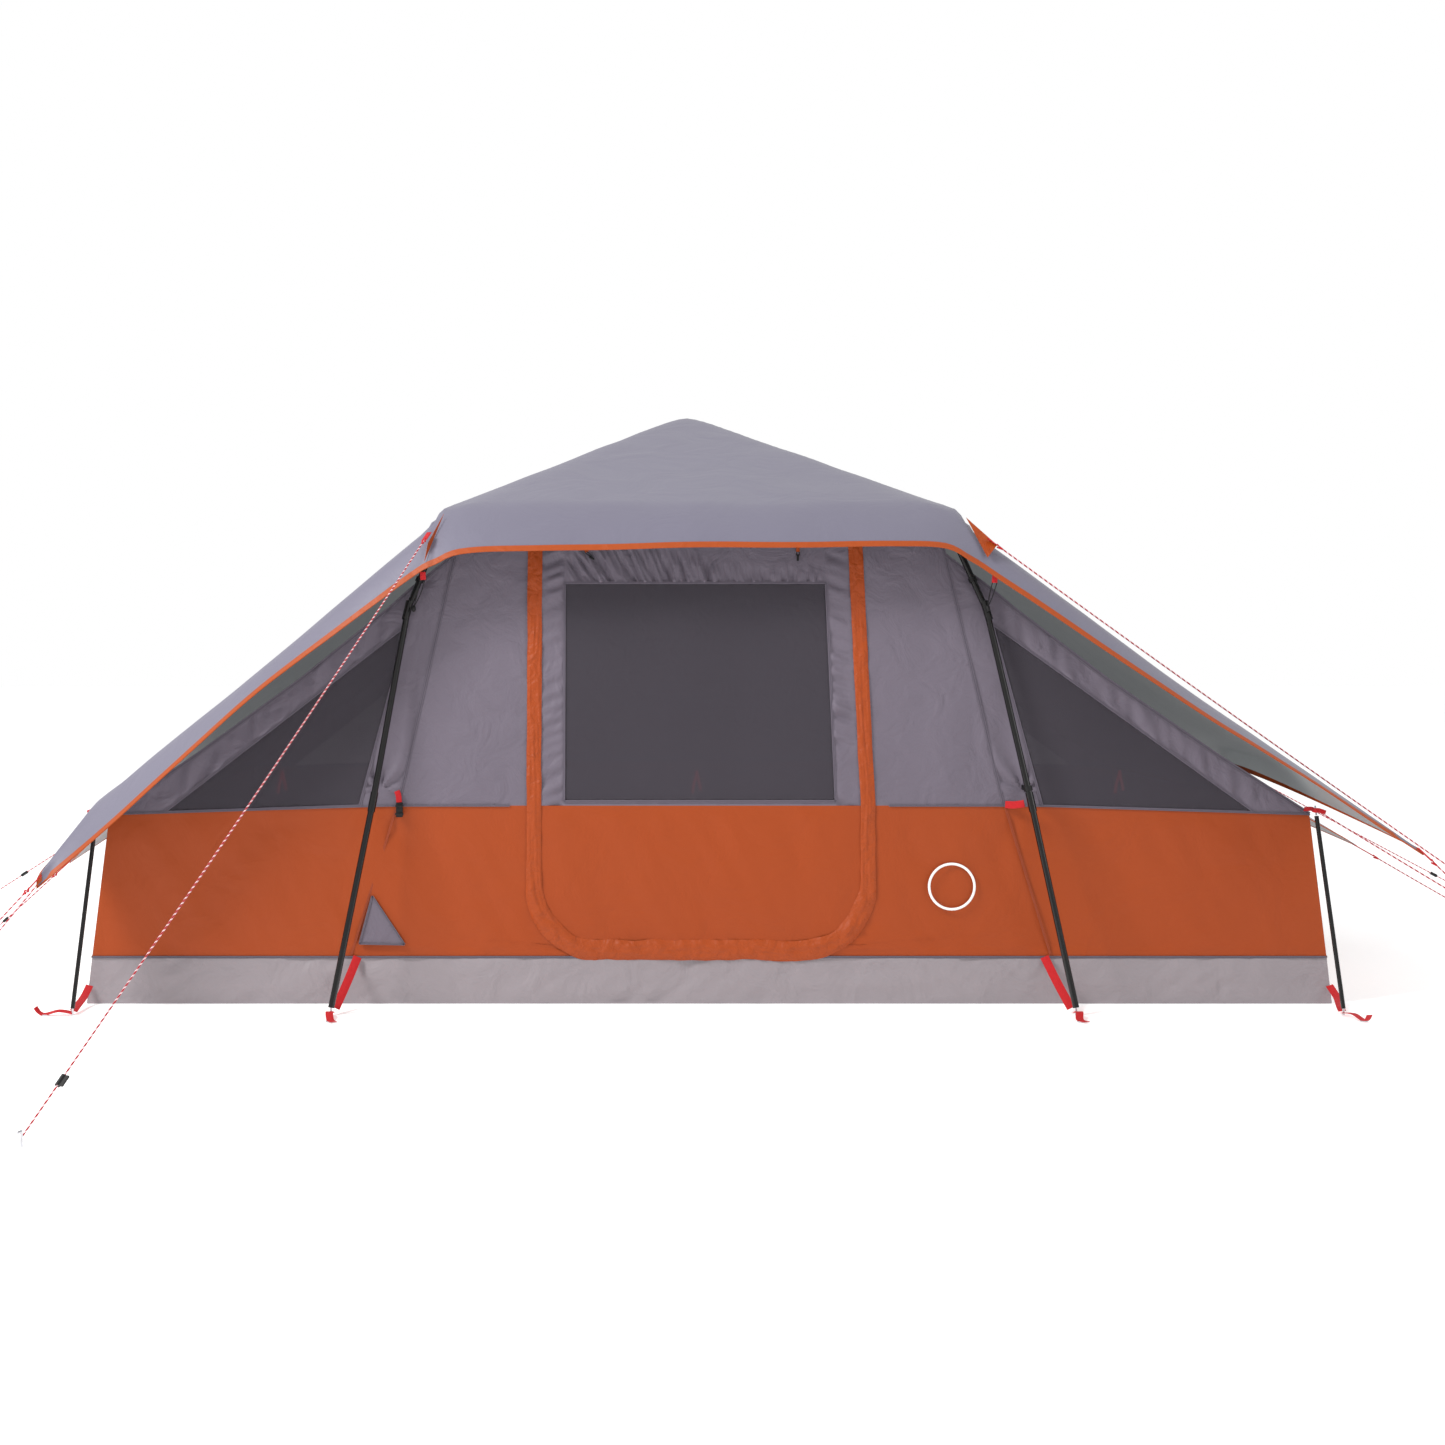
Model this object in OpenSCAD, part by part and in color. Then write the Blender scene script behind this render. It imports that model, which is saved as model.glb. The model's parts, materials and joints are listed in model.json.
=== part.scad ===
/* [Inner tent] */
// Width of the floor, along X
floor_w = 4400; // [4200:10:4600]
// Depth of the floor, along Y
floor_d = 2800; // [2700:10:2900]
// Height of the grey tub band above the ground
tub_h = 165; // [140:5:180]
// Height of the top of the orange lower walls
band_h = 700; // [680:5:720]
// How far each side wall leans in by the top of the lower wall
side_lean = 80; // [60:5:100]
// Thickness that stands for the cloth
cloth_t = 2; // [1.5:0.5:3]

/* [Cabin] */
// Offset of the cabin from the middle of the floor
cabin_x = -30; // [-40:5:0]
// Height of the top edge of the cabin walls
wall_h = 1690; // [1670:5:1700]
// Half width of the cabin front at the top of the lower wall
seam_low = 1070; // [1050:5:1090]
// Half width of the cabin front at its top edge
seam_high = 855; // [840:5:865]
// Half width of the doorway
door_half = 590; // [560:5:600]
// Height of the door's top edge, which is its fold line
door_top = 1640; // [1630:5:1650]
// Height of the door's bottom edge
door_low = 190; // [185:5:210]
// Radius of the door's lower corners
door_r = 230; // [180:10:260]

/* [Frame] */
// Outside diameter of the legs
leg_d = 22; // [20:1:24]
// Outside diameter of the roof poles
roof_pole_d = 18; // [16:1:18]
// Outside diameter of the corner posts
post_d = 15; // [13:1:16]
// Height of the middle of the crown hub
hub_z = 2195; // [2190:5:2200]
// Diameter of the crown hub
hub_d = 90; // [70:5:95]

/* [Fly] */
// Height of the peak of the fly
fly_top = 2250; // [2245:5:2270]
// Height of the fly where it breaks over the cabin's eaves
fly_break = 1772; // [1765:1:1780]

/* [Guy lines] */
// Diameter of the guy lines
line_d = 4; // [3:0.5:4]
// Sag in the middle of a long guy line
line_sag = 14; // [8:1:16]

/* [Hidden] */
$fn = 48;

fly_grey = [0.54, 0.53, 0.58];
wall_grey = [0.50, 0.47, 0.53];
mesh_grey = [0.28, 0.26, 0.30];
orange = [0.75, 0.33, 0.16];
flap_orange = [0.82, 0.38, 0.16];
tub_grey = [0.66, 0.63, 0.65];
red = [0.78, 0.12, 0.16];
black = [0.10, 0.10, 0.11];
steel = [0.75, 0.75, 0.76];

seam_gap = 4;
line_sides = 8;
line_steps = 4;
wall_lean = 0.098;
half_w = floor_w / 2;
half_d = floor_d / 2;

// Cloth walls ------------------------------------------------------------------------------

// Distance of the front or back wall from the middle, at a height
function wall_out(z) = z <= band_h ? half_d : half_d - (z - band_h) * wall_lean;
// Distance of a side wall from the middle, at a height
function side_out(z) = half_w - side_lean * z / band_h;
// Half width of the cabin front at a height
function seam_out(z) = seam_low - (seam_low - seam_high) * (z - band_h) / (wall_h - band_h);
// A point on the front (end = -1) or back (end = 1) wall, a distance proud of it
function on_wall(x, z, end = -1, proud = 0) = [x, end * (wall_out(z) + proud), z];
function mirrored_x(pts, s) = [for (p = pts) [s * p[0], p[1], p[2]]];
function flipped_y(pts, s) = [for (p = pts) [p[0], s * p[1], p[2]]];
function shifted(pts, dx) = [for (p = pts) p + [dx, 0, 0]];
function sum_of(pts, i) = i == len(pts) - 1 ? pts[i] : pts[i] + sum_of(pts, i + 1);
function unit(v) = v / norm(v);
// Corner points drawn in towards their middle, which leaves the seam gap
function drawn_in(pts, gap) =
    let (c = sum_of(pts, 0) / len(pts)) [for (p = pts) p + unit(c - p) * gap];

// A flat cloth panel whose outer face has the corner points, thickened towards the tent's core
core = [cabin_x, 0, 600];
function ring_normal(q) = cross(q[1] - q[0], q[2] - q[1]);
module panel(pts, gap = seam_gap, t = cloth_t) {
    outer = drawn_in(pts, gap);
    m = len(outer);
    faces_core = ring_normal(outer) * (core - outer[0]) > 0;
    q = faces_core ? outer : [for (i = [m - 1 : -1 : 0]) outer[i]];
    inward = unit(ring_normal(q)) * t;
    sides = [for (i = [0 : m - 1]) [i, i + m, (i + 1) % m + m, (i + 1) % m]];
    polyhedron(
        concat(q, [for (p = q) p + inward]),
        concat([[for (i = [0 : m - 1]) i]], [[for (i = [m - 1 : -1 : 0]) i + m]], sides)
    );
}

// A shape drawn in X and Z, standing as an upright sheet whose outer face is at y
module upright(y, t = cloth_t) {
    translate([0, y < 0 ? y + t : y, 0]) rotate([90, 0, 0]) linear_extrude(t) children();
}

// The door's outline below the lower wall's top, grown by an edge
module door_outline(edge = 0) {
    r = door_r + edge;
    translate([-door_half - edge, door_low + door_r])
        square([2 * door_half + 2 * edge, band_h - door_low - door_r]);
    translate([-door_half + door_r, door_low - edge])
        square([2 * (door_half - door_r), door_r + edge + 1]);
    for (s = [-1, 1]) translate([s * (door_half - door_r), door_low + door_r]) circle(r);
}

module groundsheet() {
    color(tub_grey) translate([-half_w, -half_d, 0]) cube([floor_w, floor_d, cloth_t]);
}

module tub_band() {
    color(tub_grey) {
        for (end = [-1, 1]) upright(end * half_d) polygon([
            [-half_w, cloth_t], [half_w, cloth_t], [side_out(tub_h), tub_h], [-side_out(tub_h), tub_h]
        ]);
        for (s = [-1, 1]) side_sheet(s, cloth_t + 0.5, tub_h);
    }
}

// A side wall between two heights, between the front and back walls
module side_sheet(s, low, high) {
    y = half_d - cloth_t - 1;
    panel(
        mirrored_x([
            [side_out(low), -y, low], [side_out(low), y, low],
            [side_out(high), y, high], [side_out(high), -y, high]
        ], s), 1
    );
}

module lower_wall_front() {
    edge = cabin_x + door_half + 3;
    back = cabin_x - door_half - 3;
    gap = 1;
    color(orange) {
        upright(-half_d) polygon([
            [-side_out(tub_h), tub_h + gap], [back, tub_h + gap], [back, band_h], [-side_out(band_h), band_h]
        ]);
        upright(-half_d) polygon([
            [edge, tub_h + gap], [side_out(tub_h), tub_h + gap], [side_out(band_h), band_h], [edge, band_h]
        ]);
        translate([cabin_x, 0, 0]) upright(-half_d) door_surround(gap);
    }
}

// The strip under the door and the fillets in its lower corners
module door_surround(gap) {
    flat = door_half - door_r;
    translate([-flat + gap, tub_h + gap]) square([2 * (flat - gap), door_low - tub_h - 3 - gap]);
    for (s = [-1, 1]) difference() {
        translate([s > 0 ? flat + gap : -door_half - 3 + gap, tub_h + gap])
            square([door_r + 3 - 2 * gap, door_r]);
        translate([s * flat, door_low + door_r]) circle(door_r + 3);
    }
}

module lower_wall_back() {
    color(orange) upright(half_d) polygon([
        [-side_out(tub_h), tub_h + 1], [side_out(tub_h), tub_h + 1],
        [side_out(band_h), band_h], [-side_out(band_h), band_h]
    ]);
}

module lower_walls_side() {
    color(orange) for (s = [-1, 1]) side_sheet(s, tub_h, band_h);
}

// Half width of the doorway's right edge, which leans in above the lower wall
door_right_top = door_half - 35;
module cabin_panels_front() {
    color(wall_grey) translate([cabin_x, 0, 0]) {
        panel([
            on_wall(-seam_out(band_h), band_h), on_wall(-door_half, band_h),
            on_wall(-door_half, door_top), on_wall(-seam_out(door_top), door_top)
        ]);
        panel([
            on_wall(door_half, band_h), on_wall(seam_out(band_h), band_h),
            on_wall(seam_out(door_top), door_top), on_wall(door_right_top, door_top)
        ]);
        panel([
            on_wall(-seam_out(door_top), door_top), on_wall(seam_out(door_top), door_top),
            on_wall(seam_high, wall_h), on_wall(-seam_high, wall_h)
        ], 3);
    }
}

module cabin_panel_back() {
    color(wall_grey) translate([cabin_x, 0, 0]) panel([
        on_wall(seam_low, band_h, 1), on_wall(-seam_low, band_h, 1),
        on_wall(-seam_high, wall_h, 1), on_wall(seam_high, wall_h, 1)
    ]);
}

// Corners of a wing's end wall: foot of the seam, head of the seam, outer corner, and the mesh
wing_head_z = 1590;
function wing_seam_low(s) = [cabin_x + s * seam_out(band_h), band_h];
function wing_seam_head(s) = [cabin_x + s * seam_out(wing_head_z), wing_head_z];
function wing_corner(s) = [s * side_out(band_h), band_h];
function mesh_inner(s) = [cabin_x + s * 1205, band_h + 10];
function mesh_peak(s) = [cabin_x + s * 1040, 1345];
function mesh_outer(s) = [s * 1900, band_h + 10];
function standing(pts, end) = [for (p = pts) on_wall(p[0], p[1], end)];

// The cloth around a wing's mesh: the strip beside the cabin and the band under the roof
module wing_wall(s, end) {
    panel(standing([wing_seam_low(s), mesh_inner(s), mesh_peak(s), wing_seam_head(s)], end));
    panel(standing([mesh_peak(s), mesh_outer(s), wing_corner(s), wing_seam_head(s)], end), 12);
}

module wing_mesh(s, end) {
    panel(standing([mesh_inner(s), mesh_outer(s), mesh_peak(s)], end), 16, 1);
}

module wing_walls_front() {
    color(wall_grey) for (s = [-1, 1]) wing_wall(s, -1);
}
module wing_walls_back() {
    color(wall_grey) for (s = [-1, 1]) wing_wall(s, 1);
}
module wing_mesh_front() {
    color(mesh_grey) for (s = [-1, 1]) wing_mesh(s, -1);
}
module wing_mesh_back() {
    color(mesh_grey) for (s = [-1, 1]) wing_mesh(s, 1);
}

// The inner roof over the cabin, a low pyramid on an upright band along the wings
inner_peak = [cabin_x, 0, 2120];
module inner_roof_cabin() {
    y = wall_out(wall_h);
    corners = shifted([
        [-seam_high, -y, wall_h], [seam_high, -y, wall_h], [seam_high, y, wall_h], [-seam_high, y, wall_h]
    ], cabin_x);
    color(wall_grey) {
        for (i = [0 : 3]) panel([corners[i], corners[(i + 1) % 4], inner_peak], 8);
        for (s = [-1, 1]) panel([
            on_wall(wing_seam_head(s)[0], wing_head_z, -1), on_wall(wing_seam_head(s)[0], wing_head_z, 1),
            on_wall(cabin_x + s * seam_high, wall_h, 1), on_wall(cabin_x + s * seam_high, wall_h, -1)
        ], 6);
    }
}

module inner_roof_wings() {
    color(wall_grey) for (s = [-1, 1]) panel([
        on_wall(wing_corner(s)[0], band_h, -1), on_wall(wing_corner(s)[0], band_h, 1),
        on_wall(wing_seam_head(s)[0], wing_head_z, 1), on_wall(wing_seam_head(s)[0], wing_head_z, -1)
    ], 7);
}

// The door ---------------------------------------------------------------------------------

door_proud = 1;
door_gap = 3;
mesh_left = 484;
mesh_right_low = 477;
mesh_right_top = 450;
mesh_low = 715;
mesh_top = 1490;
// Half width of the door's right edge at a height
function door_right(z) = door_half - (door_half - door_right_top) * (z - band_h) / (door_top - band_h);
function door_pts(pts) = [for (p = pts) on_wall(p[0] + cabin_x, p[1], -1, door_proud)];

module door_lower_panel() {
    color(orange) translate([cabin_x, 0, 0]) upright(-half_d - door_proud) door_outline();
}

module door_upper_frame() {
    low = band_h + 1;
    top = door_top - door_gap;
    color(wall_grey) {
        panel(door_pts([[-door_half, low], [-mesh_left, low], [-mesh_left, top], [-door_half, top]]), 2);
        panel(door_pts([
            [mesh_right_low, low], [door_right(low), low], [door_right(top), top], [mesh_right_top, top]
        ]), 2);
        panel(door_pts([
            [-mesh_left, mesh_top], [mesh_right_top, mesh_top], [mesh_right_top, top], [-mesh_left, top]
        ]), 2);
        panel(door_pts([
            [-mesh_left, low], [mesh_right_low, low], [mesh_right_low, mesh_low], [-mesh_left, mesh_low]
        ]), 1);
    }
}

module door_mesh() {
    color(mesh_grey) panel(door_pts([
        [-mesh_left, mesh_low], [mesh_right_low, mesh_low],
        [mesh_right_top, mesh_top], [-mesh_left, mesh_top]
    ]), 3, 1);
}

// The flap over the zip, along both sides and round the bottom of the door
module door_zip_flap() {
    half = 25;
    y = -half_d - door_proud - cloth_t;
    low = band_h + 1;
    top = door_top - door_gap - 2;
    color(flap_orange) {
        translate([cabin_x, 0, 0]) upright(y) difference() {
            door_outline(half);
            door_outline(-half);
            translate([-half_w, band_h - 1]) square([floor_w, band_h]);
        }
        for (side = [[-door_half, -door_half], [door_right(low), door_right(top)]])
            panel([for (p = [
                [side[0] - half, low], [side[0] + half, low], [side[1] + half, top], [side[1] - half, top]
            ]) on_wall(p[0] + cabin_x, p[1], -1, door_proud + cloth_t + 0.5)], 1);
    }
}

// A toggle on its tab, hanging from the door's head
module toggle(x) {
    z = 1600;
    y = -wall_out(z) - 8;
    translate([x, y, 0]) {
        color(orange) translate([-6, -1, z]) cube([12, 2, 26]);
        color(black) translate([0, 0, z - 18]) cylinder(d = 7, h = 34);
    }
}
toggle_left_x = -440;
toggle_right_x = 320;
module toggle_left() {
    toggle(toggle_left_x);
}
module toggle_right() {
    toggle(toggle_right_x);
}

// A ribbon pull that hangs inside a mesh window
pull_top = 825;
pull_len = 90;
module pull(x) {
    y = -wall_out(pull_top) + 14;
    color(red) {
        translate([x - 5, y, pull_top - pull_len]) cube([10, 1.5, pull_len]);
        translate([x - 9, y + 3, pull_top - pull_len]) cube([8, 1.5, pull_len - 12]);
        translate([x - 4, y - 1, pull_top - 12]) cube([8, 6, 10]);
    }
}
module window_pull_door() {
    pull(cabin_x - 14);
}
module window_pull_left() {
    pull(-1514);
}
module window_pull_right() {
    pull(1455);
}

// The fly ----------------------------------------------------------------------------------

crown_half = 925;
crown_y = 1300;
// Fly points at the front of one side, as [left, right]; the back is its mirror
fly_eave = [[-1005, -1380, 1672], [950, -1380, 1655]];
fly_knee = [[-1622, -1480, 1142], [1720, -1480, 1075]];
fly_tip = [[-2275, -1740, 490], [2380, -1740, 575]];
fly_rest = [[-2140, -1500, 720], [2050, -1580, 828]];
fly_scoop = [[-2200, -880, 720], [2000, -880, 850]];
fly_mid = [[-2665, 0, 335], [2845, 0, 405]];
hem_front = [[-900, -1480, 1590], [850, -1480, 1615]];
hem_eave = [[-1000, -1470, 1535], [985, -1470, 1510]];
hem_knee = [[-1604, -1600, 1075], [1700, -1600, 1017]];

function back_of(p) = [p[0], -p[1], p[2]];
function crown_corner(s, end) = [cabin_x + s * crown_half, end * crown_y, fly_break];

module fly_crown() {
    peak = [cabin_x, 0, fly_top];
    corners = [crown_corner(-1, -1), crown_corner(1, -1), crown_corner(1, 1), crown_corner(-1, 1)];
    color(fly_grey) {
        for (i = [0 : 3]) panel([corners[i], corners[(i + 1) % 4], peak], 8);
        for (end = [-1, 1]) panel([
            crown_corner(-1, end), crown_corner(1, end),
            [hem_front[1][0], end * 1480, 1612], [hem_front[0][0], end * 1480, 1612]
        ], 10);
    }
}

// The cloth over one wing: the eave drop, the slope, the three tie-out points and the hanging edge
module fly_wing(i) {
    s = i == 0 ? -1 : 1;
    eave = fly_eave[i];
    knee = fly_knee[i];
    tip = fly_tip[i];
    rest = fly_rest[i];
    scoop = fly_scoop[i];
    panel([crown_corner(s, -1), crown_corner(s, 1), back_of(eave), eave], 9);
    panel([eave, back_of(eave), back_of(knee), knee], 9);
    panel([knee, back_of(knee), back_of(scoop), scoop], 9);
    panel([scoop, back_of(scoop), fly_mid[i]], 12);
    for (end = [1, -1]) {
        panel(flipped_y([knee, scoop, rest], end), 8);
        panel(flipped_y([rest, scoop, tip], end), 14);
        panel(flipped_y([knee, rest, hem_knee[i]], end), 10);
        panel(flipped_y([rest, tip, hem_knee[i]], end), 10);
        panel(flipped_y([eave, knee, hem_knee[i]], end), 14);
        panel(flipped_y([eave, hem_knee[i], hem_eave[i]], end), 14);
        panel(flipped_y([crown_corner(s, -1), eave, hem_eave[i]], end), 14);
        panel(flipped_y([crown_corner(s, -1), hem_eave[i], hem_front[i]], end), 14);
    }
}
module fly_wing_left() {
    color(fly_grey) fly_wing(0);
}
module fly_wing_right() {
    color(fly_grey) fly_wing(1);
}

// The frame --------------------------------------------------------------------------------

// Bend points of a front leg from foot to elbow, before the cabin's offset, for each side
leg_pts_left = [[1275, -1620, 24], [1148, -1490, 720], [1040, -1368, 1390], [925, -1295, 1700]];
leg_pts_right = [[1275, -1620, 24], [1148, -1490, 720], [1016, -1368, 1390], [890, -1295, 1700]];
function leg_pts(s) = s < 0 ? leg_pts_left : leg_pts_right;
function leg_route(s, end) = [for (p = leg_pts(s)) [cabin_x + s * p[0], -end * p[1], p[2]]];
post_foot = [2175, -1620, 22];
post_top = [2125, -1500, 672];
function post_end(p, s, end) = [s * p[0] - 15, -end * p[1], p[2]];

// Stands the child's +Z along the way from a to b, at a
module along(a, b) {
    d = unit(b - a);
    translate(a) rotate([0, acos(d[2]), atan2(d[1], d[0])]) children();
}

// A straight open tube from a to b, which stops short at each end
module tube(a, b, d, wall, short = 0.5) {
    along(a, b) translate([0, 0, short]) difference() {
        cylinder(d = d, h = norm(b - a) - 2 * short);
        translate([0, 0, -1]) cylinder(d = d - 2 * wall, h = norm(b - a) + 2);
    }
}

// A leg of three tubes that meet inside the ferrules
module leg(s, end) {
    route = leg_route(s, end);
    color(black) for (i = [0 : 2]) tube(route[i], route[i + 1], leg_d, 1, 1.5);
}
module leg_front_left() {
    leg(-1, -1);
}
module leg_front_right() {
    leg(1, -1);
}
module leg_back_left() {
    leg(-1, 1);
}
module leg_back_right() {
    leg(1, 1);
}

ferrule_len = 70;
module pole_ferrules() {
    color(black) for (s = [-1, 1], end = [-1, 1]) {
        route = leg_route(s, end);
        for (i = [1, 2]) {
            way = unit(route[i + 1] - route[i - 1]) * ferrule_len / 2;
            tube(route[i] - way, route[i] + way, leg_d + 5, 2);
        }
    }
}

elbow_r = 18;
socket_len = 55;
function roof_start(s, end) = leg_route(s, end)[3] + [0, 0, 12];
function roof_end(s, end) = [cabin_x + s * 42, end * 60, hub_z - 4];
module corner_elbows() {
    color(black) for (s = [-1, 1], end = [-1, 1]) {
        route = leg_route(s, end);
        corner = roof_start(s, end);
        difference() {
            union() {
                translate(corner) sphere(elbow_r);
                along(corner, route[2]) cylinder(d = leg_d + 8, h = socket_len);
                along(corner, roof_end(s, end)) cylinder(d = roof_pole_d + 8, h = socket_len);
            }
            along(corner, route[2]) translate([0, 0, 10]) cylinder(d = leg_d + 0.8, h = socket_len);
            along(corner, roof_end(s, end)) translate([0, 0, 16])
                cylinder(d = roof_pole_d + 0.6, h = socket_len);
        }
    }
}

module roof_poles() {
    color(black) for (s = [-1, 1], end = [-1, 1])
        tube(roof_start(s, end), roof_end(s, end), roof_pole_d, 1, 20);
}

hub_h = 40;
module hub() {
    color(black) difference() {
        union() {
            translate([cabin_x, 0, hub_z - hub_h / 2]) cylinder(d = hub_d, h = hub_h);
            for (s = [-1, 1], end = [-1, 1])
                along(roof_end(s, end), roof_start(s, end)) translate([0, 0, -30])
                    cylinder(d = roof_pole_d + 8, h = 80);
        }
        for (s = [-1, 1], end = [-1, 1])
            along(roof_end(s, end), roof_start(s, end)) translate([0, 0, 5])
                cylinder(d = roof_pole_d + 0.6, h = 120);
    }
}

module wing_posts() {
    color(black) for (s = [-1, 1], end = [-1, 1])
        tube(post_end(post_foot, s, end), post_end(post_top, s, end), post_d, 1);
}

// A steel pin that stands on the ground and carries a plug inside a tube
module pin(foot, top, d) {
    plug = d - 2.4;
    ground = [foot[0], foot[1], 0];
    translate(ground) cylinder(d = 8, h = foot[2] + 4);
    along(foot, top) translate([0, 0, 1]) cylinder(d = plug, h = 30);
}
module foot_pins() {
    color(steel) for (s = [-1, 1], end = [-1, 1]) {
        route = leg_route(s, end);
        pin(route[0], route[1], leg_d);
        pin(post_end(post_foot, s, end), post_end(post_top, s, end), post_d);
        along(post_end(post_top, s, end), post_end(post_foot, s, end)) translate([0, 0, -36])
            cylinder(d = 6, h = 34);
    }
}

// Webbing tails on the ground: where each starts, and where its eyelet is
leg_eyelet = [1262, -1745];
post_eyelet_left = [2282, -1625];
post_eyelet_right = [2185, -1738];
function eyelet(p, dx, s, end) = [s * p[0] + dx, -end * p[1], 0];
function post_eyelet(s, end) = eyelet(s < 0 ? post_eyelet_left : post_eyelet_right, 0, s, end);
eyelet_d = 14;
eyelet_h = 4;
module foot_rings() {
    color(steel) for (s = [-1, 1], end = [-1, 1])
        for (at = [eyelet(leg_eyelet, cabin_x, s, end), post_eyelet(s, end)])
            translate(at) difference() {
                cylinder(d = eyelet_d + 12, h = eyelet_h);
                translate([0, 0, -1]) cylinder(d = eyelet_d, h = eyelet_h + 2);
            }
}

// A flat strap between two points, lying on the ground or rising
module strap(a, b, w) {
    side = unit(cross(b - a, [0, 0, 1])) * w / 2;
    panel([a - side, b - side, b + side, a + side], 0.5);
}

module foot_straps() {
    strap_w = 28;
    strap_off = 10;
    color(red) for (s = [-1, 1], end = [-1, 1]) {
        leg_foot = leg_route(s, end)[0];
        leg_eye = eyelet(leg_eyelet, cabin_x, s, end);
        post_foot_at = post_end(post_foot, s, end);
        post_eye = post_eyelet(s, end);
        wall = [cabin_x + s * 1190, end * (half_d + strap_off), tub_h - 5];
        corner = [s * (half_w - 40), end * (half_d + strap_off), 40];
        strap(wall, [leg_foot[0] - s * 6, leg_foot[1] - end * 36, 6], strap_w);
        strap([leg_foot[0], leg_foot[1] + end * 8, 0], leg_eye - [0, end * 15, 0], strap_w);
        strap(corner, [post_foot_at[0], post_foot_at[1] - end * 30, 6], strap_w);
        tail = unit([post_eye[0] - post_foot_at[0], post_eye[1] - post_foot_at[1], 0]);
        strap([post_foot_at[0], post_foot_at[1], 0] + tail * 8, post_eye - tail * 15, strap_w);
    }
}

// Hooks that hold the walls to the legs. The front left one hangs loose beside its leg.
hook_z = 735;
hook_high_z = 1500;
function leg_at(s, end, i, z) =
    let (r = leg_route(s, end)) r[i] + (r[i + 1] - r[i]) * (z - r[i][2]) / (r[i + 1][2] - r[i][2]);
module hook(s, end, i, z) {
    at = leg_at(s, end, i, z);
    reach = abs(at[1]) - wall_out(z) - leg_d / 2 - 4;
    way = leg_route(s, end)[i + 1];
    difference() {
        union() {
            along(at, way) translate([0, 0, -8]) cylinder(d = leg_d + 8, h = 16);
            translate([at[0] - 6, end > 0 ? at[1] - reach - leg_d / 2 : at[1] + leg_d / 2, z - 8])
                cube([12, reach, 16]);
        }
        along(at, way) translate([0, 0, -20]) cylinder(d = leg_d + 0.8, h = 40);
    }
}
module hook_clips() {
    color(black) {
        for (c = [[1, -1], [-1, 1], [1, 1]]) hook(c[0], c[1], 1, hook_z + 30);
        for (s = [-1, 1], end = [-1, 1]) hook(s, end, 2, hook_high_z);
    }
}

loose_clip_x = -1095;
module loose_clip() {
    y = -half_d - 12;
    translate([loose_clip_x, y, 0]) {
        color(red) translate([-9, -1, 715]) cube([18, 2, 34]);
        color(black) difference() {
            translate([-10, -4, 660]) cube([20, 8, 54]);
            translate([-5, -5, 670]) cube([10, 10, 24]);
        }
    }
}

// Guy lines --------------------------------------------------------------------------------

// Each line as [start, peg, sag]: the front ones, then the back ones, left before right
peg_z = 26;
guys = [
    [[-1000, -1450, 1640], [-1825, -3410, peg_z], line_sag],
    [[1010, -1425, 1620], [3255, -1500, peg_z], line_sag],
    [[-1000, 1450, 1640], [-3450, 1480, peg_z], line_sag],
    [[1010, 1425, 1620], [3940, 1450, peg_z], line_sag],
    [[-2142, -1510, 682], [-2660, -1620, peg_z], 4],
    [[2112, -1510, 690], [3200, -1620, peg_z], 4],
    [[-2142, 1510, 682], [-2660, 1620, peg_z], 4],
    [[2112, 1510, 690], [3080, 1620, peg_z], 4],
    [[-2300, -1752, 450], [-2700, -1760, peg_z], 3],
    [[2405, -1752, 545], [2960, -1760, peg_z], 3],
    [[-2300, 1752, 450], [-2600, 1780, peg_z], 3],
    [[2405, 1752, 545], [2760, 1780, peg_z], 3],
    [[-2700, 0, 305], [-3010, 0, peg_z], 3],
    [[2880, 0, 378], [3500, 0, peg_z], 3]
];
function guy_at(g, t) = g[0] + (g[1] - g[0]) * t - [0, 0, 4 * g[2] * t * (1 - t)];
function guy_way(g, t) = unit(g[1] - g[0] - [0, 0, 4 * g[2] * (1 - 2 * t)]);

// A line swept along its sagging way, a ring of sides at each step
module guy(i) {
    g = guys[i];
    across = unit(cross(g[1] - g[0], [0, 0, 1]));
    rise = unit(cross(across, g[1] - g[0]));
    pts = [
        for (k = [0 : line_steps], j = [0 : line_sides - 1])
            let (a = 360 * j / line_sides)
            guy_at(g, k / line_steps) + line_d / 2 * (cos(a) * across + sin(a) * rise)
    ];
    last = line_sides * line_steps;
    walls = [
        for (k = [0 : line_steps - 1], j = [0 : line_sides - 1])
            let (m = (j + 1) % line_sides, a = k * line_sides, b = a + line_sides)
            [a + j, b + j, b + m, a + m]
    ];
    cap_a = [for (j = [0 : line_sides - 1]) j];
    cap_b = [for (j = [line_sides - 1 : -1 : 0]) last + j];
    color(red) polyhedron(pts, concat(walls, [cap_a, cap_b]));
}

runner_at = 0.93;
// A line runner: a short barrel with a flat wing, bored for the line
module runner(g, t, len, d) {
    at = guy_at(g, t);
    color(black) along(at, at + guy_way(g, t)) translate([0, 0, -len / 2]) difference() {
        union() {
            cylinder(d = d, h = len);
            translate([-d * 0.2, 0, 0]) cube([d * 0.4, d * 1.1, len]);
        }
        translate([0, 0, -1]) cylinder(d = line_d + 2.6, h = len + 2);
    }
}
module runner_front_left() {
    runner(guys[0], runner_at, 34, 15);
}
module runner_front_right() {
    runner(guys[1], runner_at, 34, 15);
}
module runner_back_left() {
    runner(guys[2], runner_at, 34, 15);
}
module runner_back_right() {
    runner(guys[3], runner_at, 34, 15);
}
module short_line_runners() {
    for (i = [4 : 13]) runner(guys[i], i < 8 ? 0.78 : 0.7, 26, 12);
}

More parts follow.
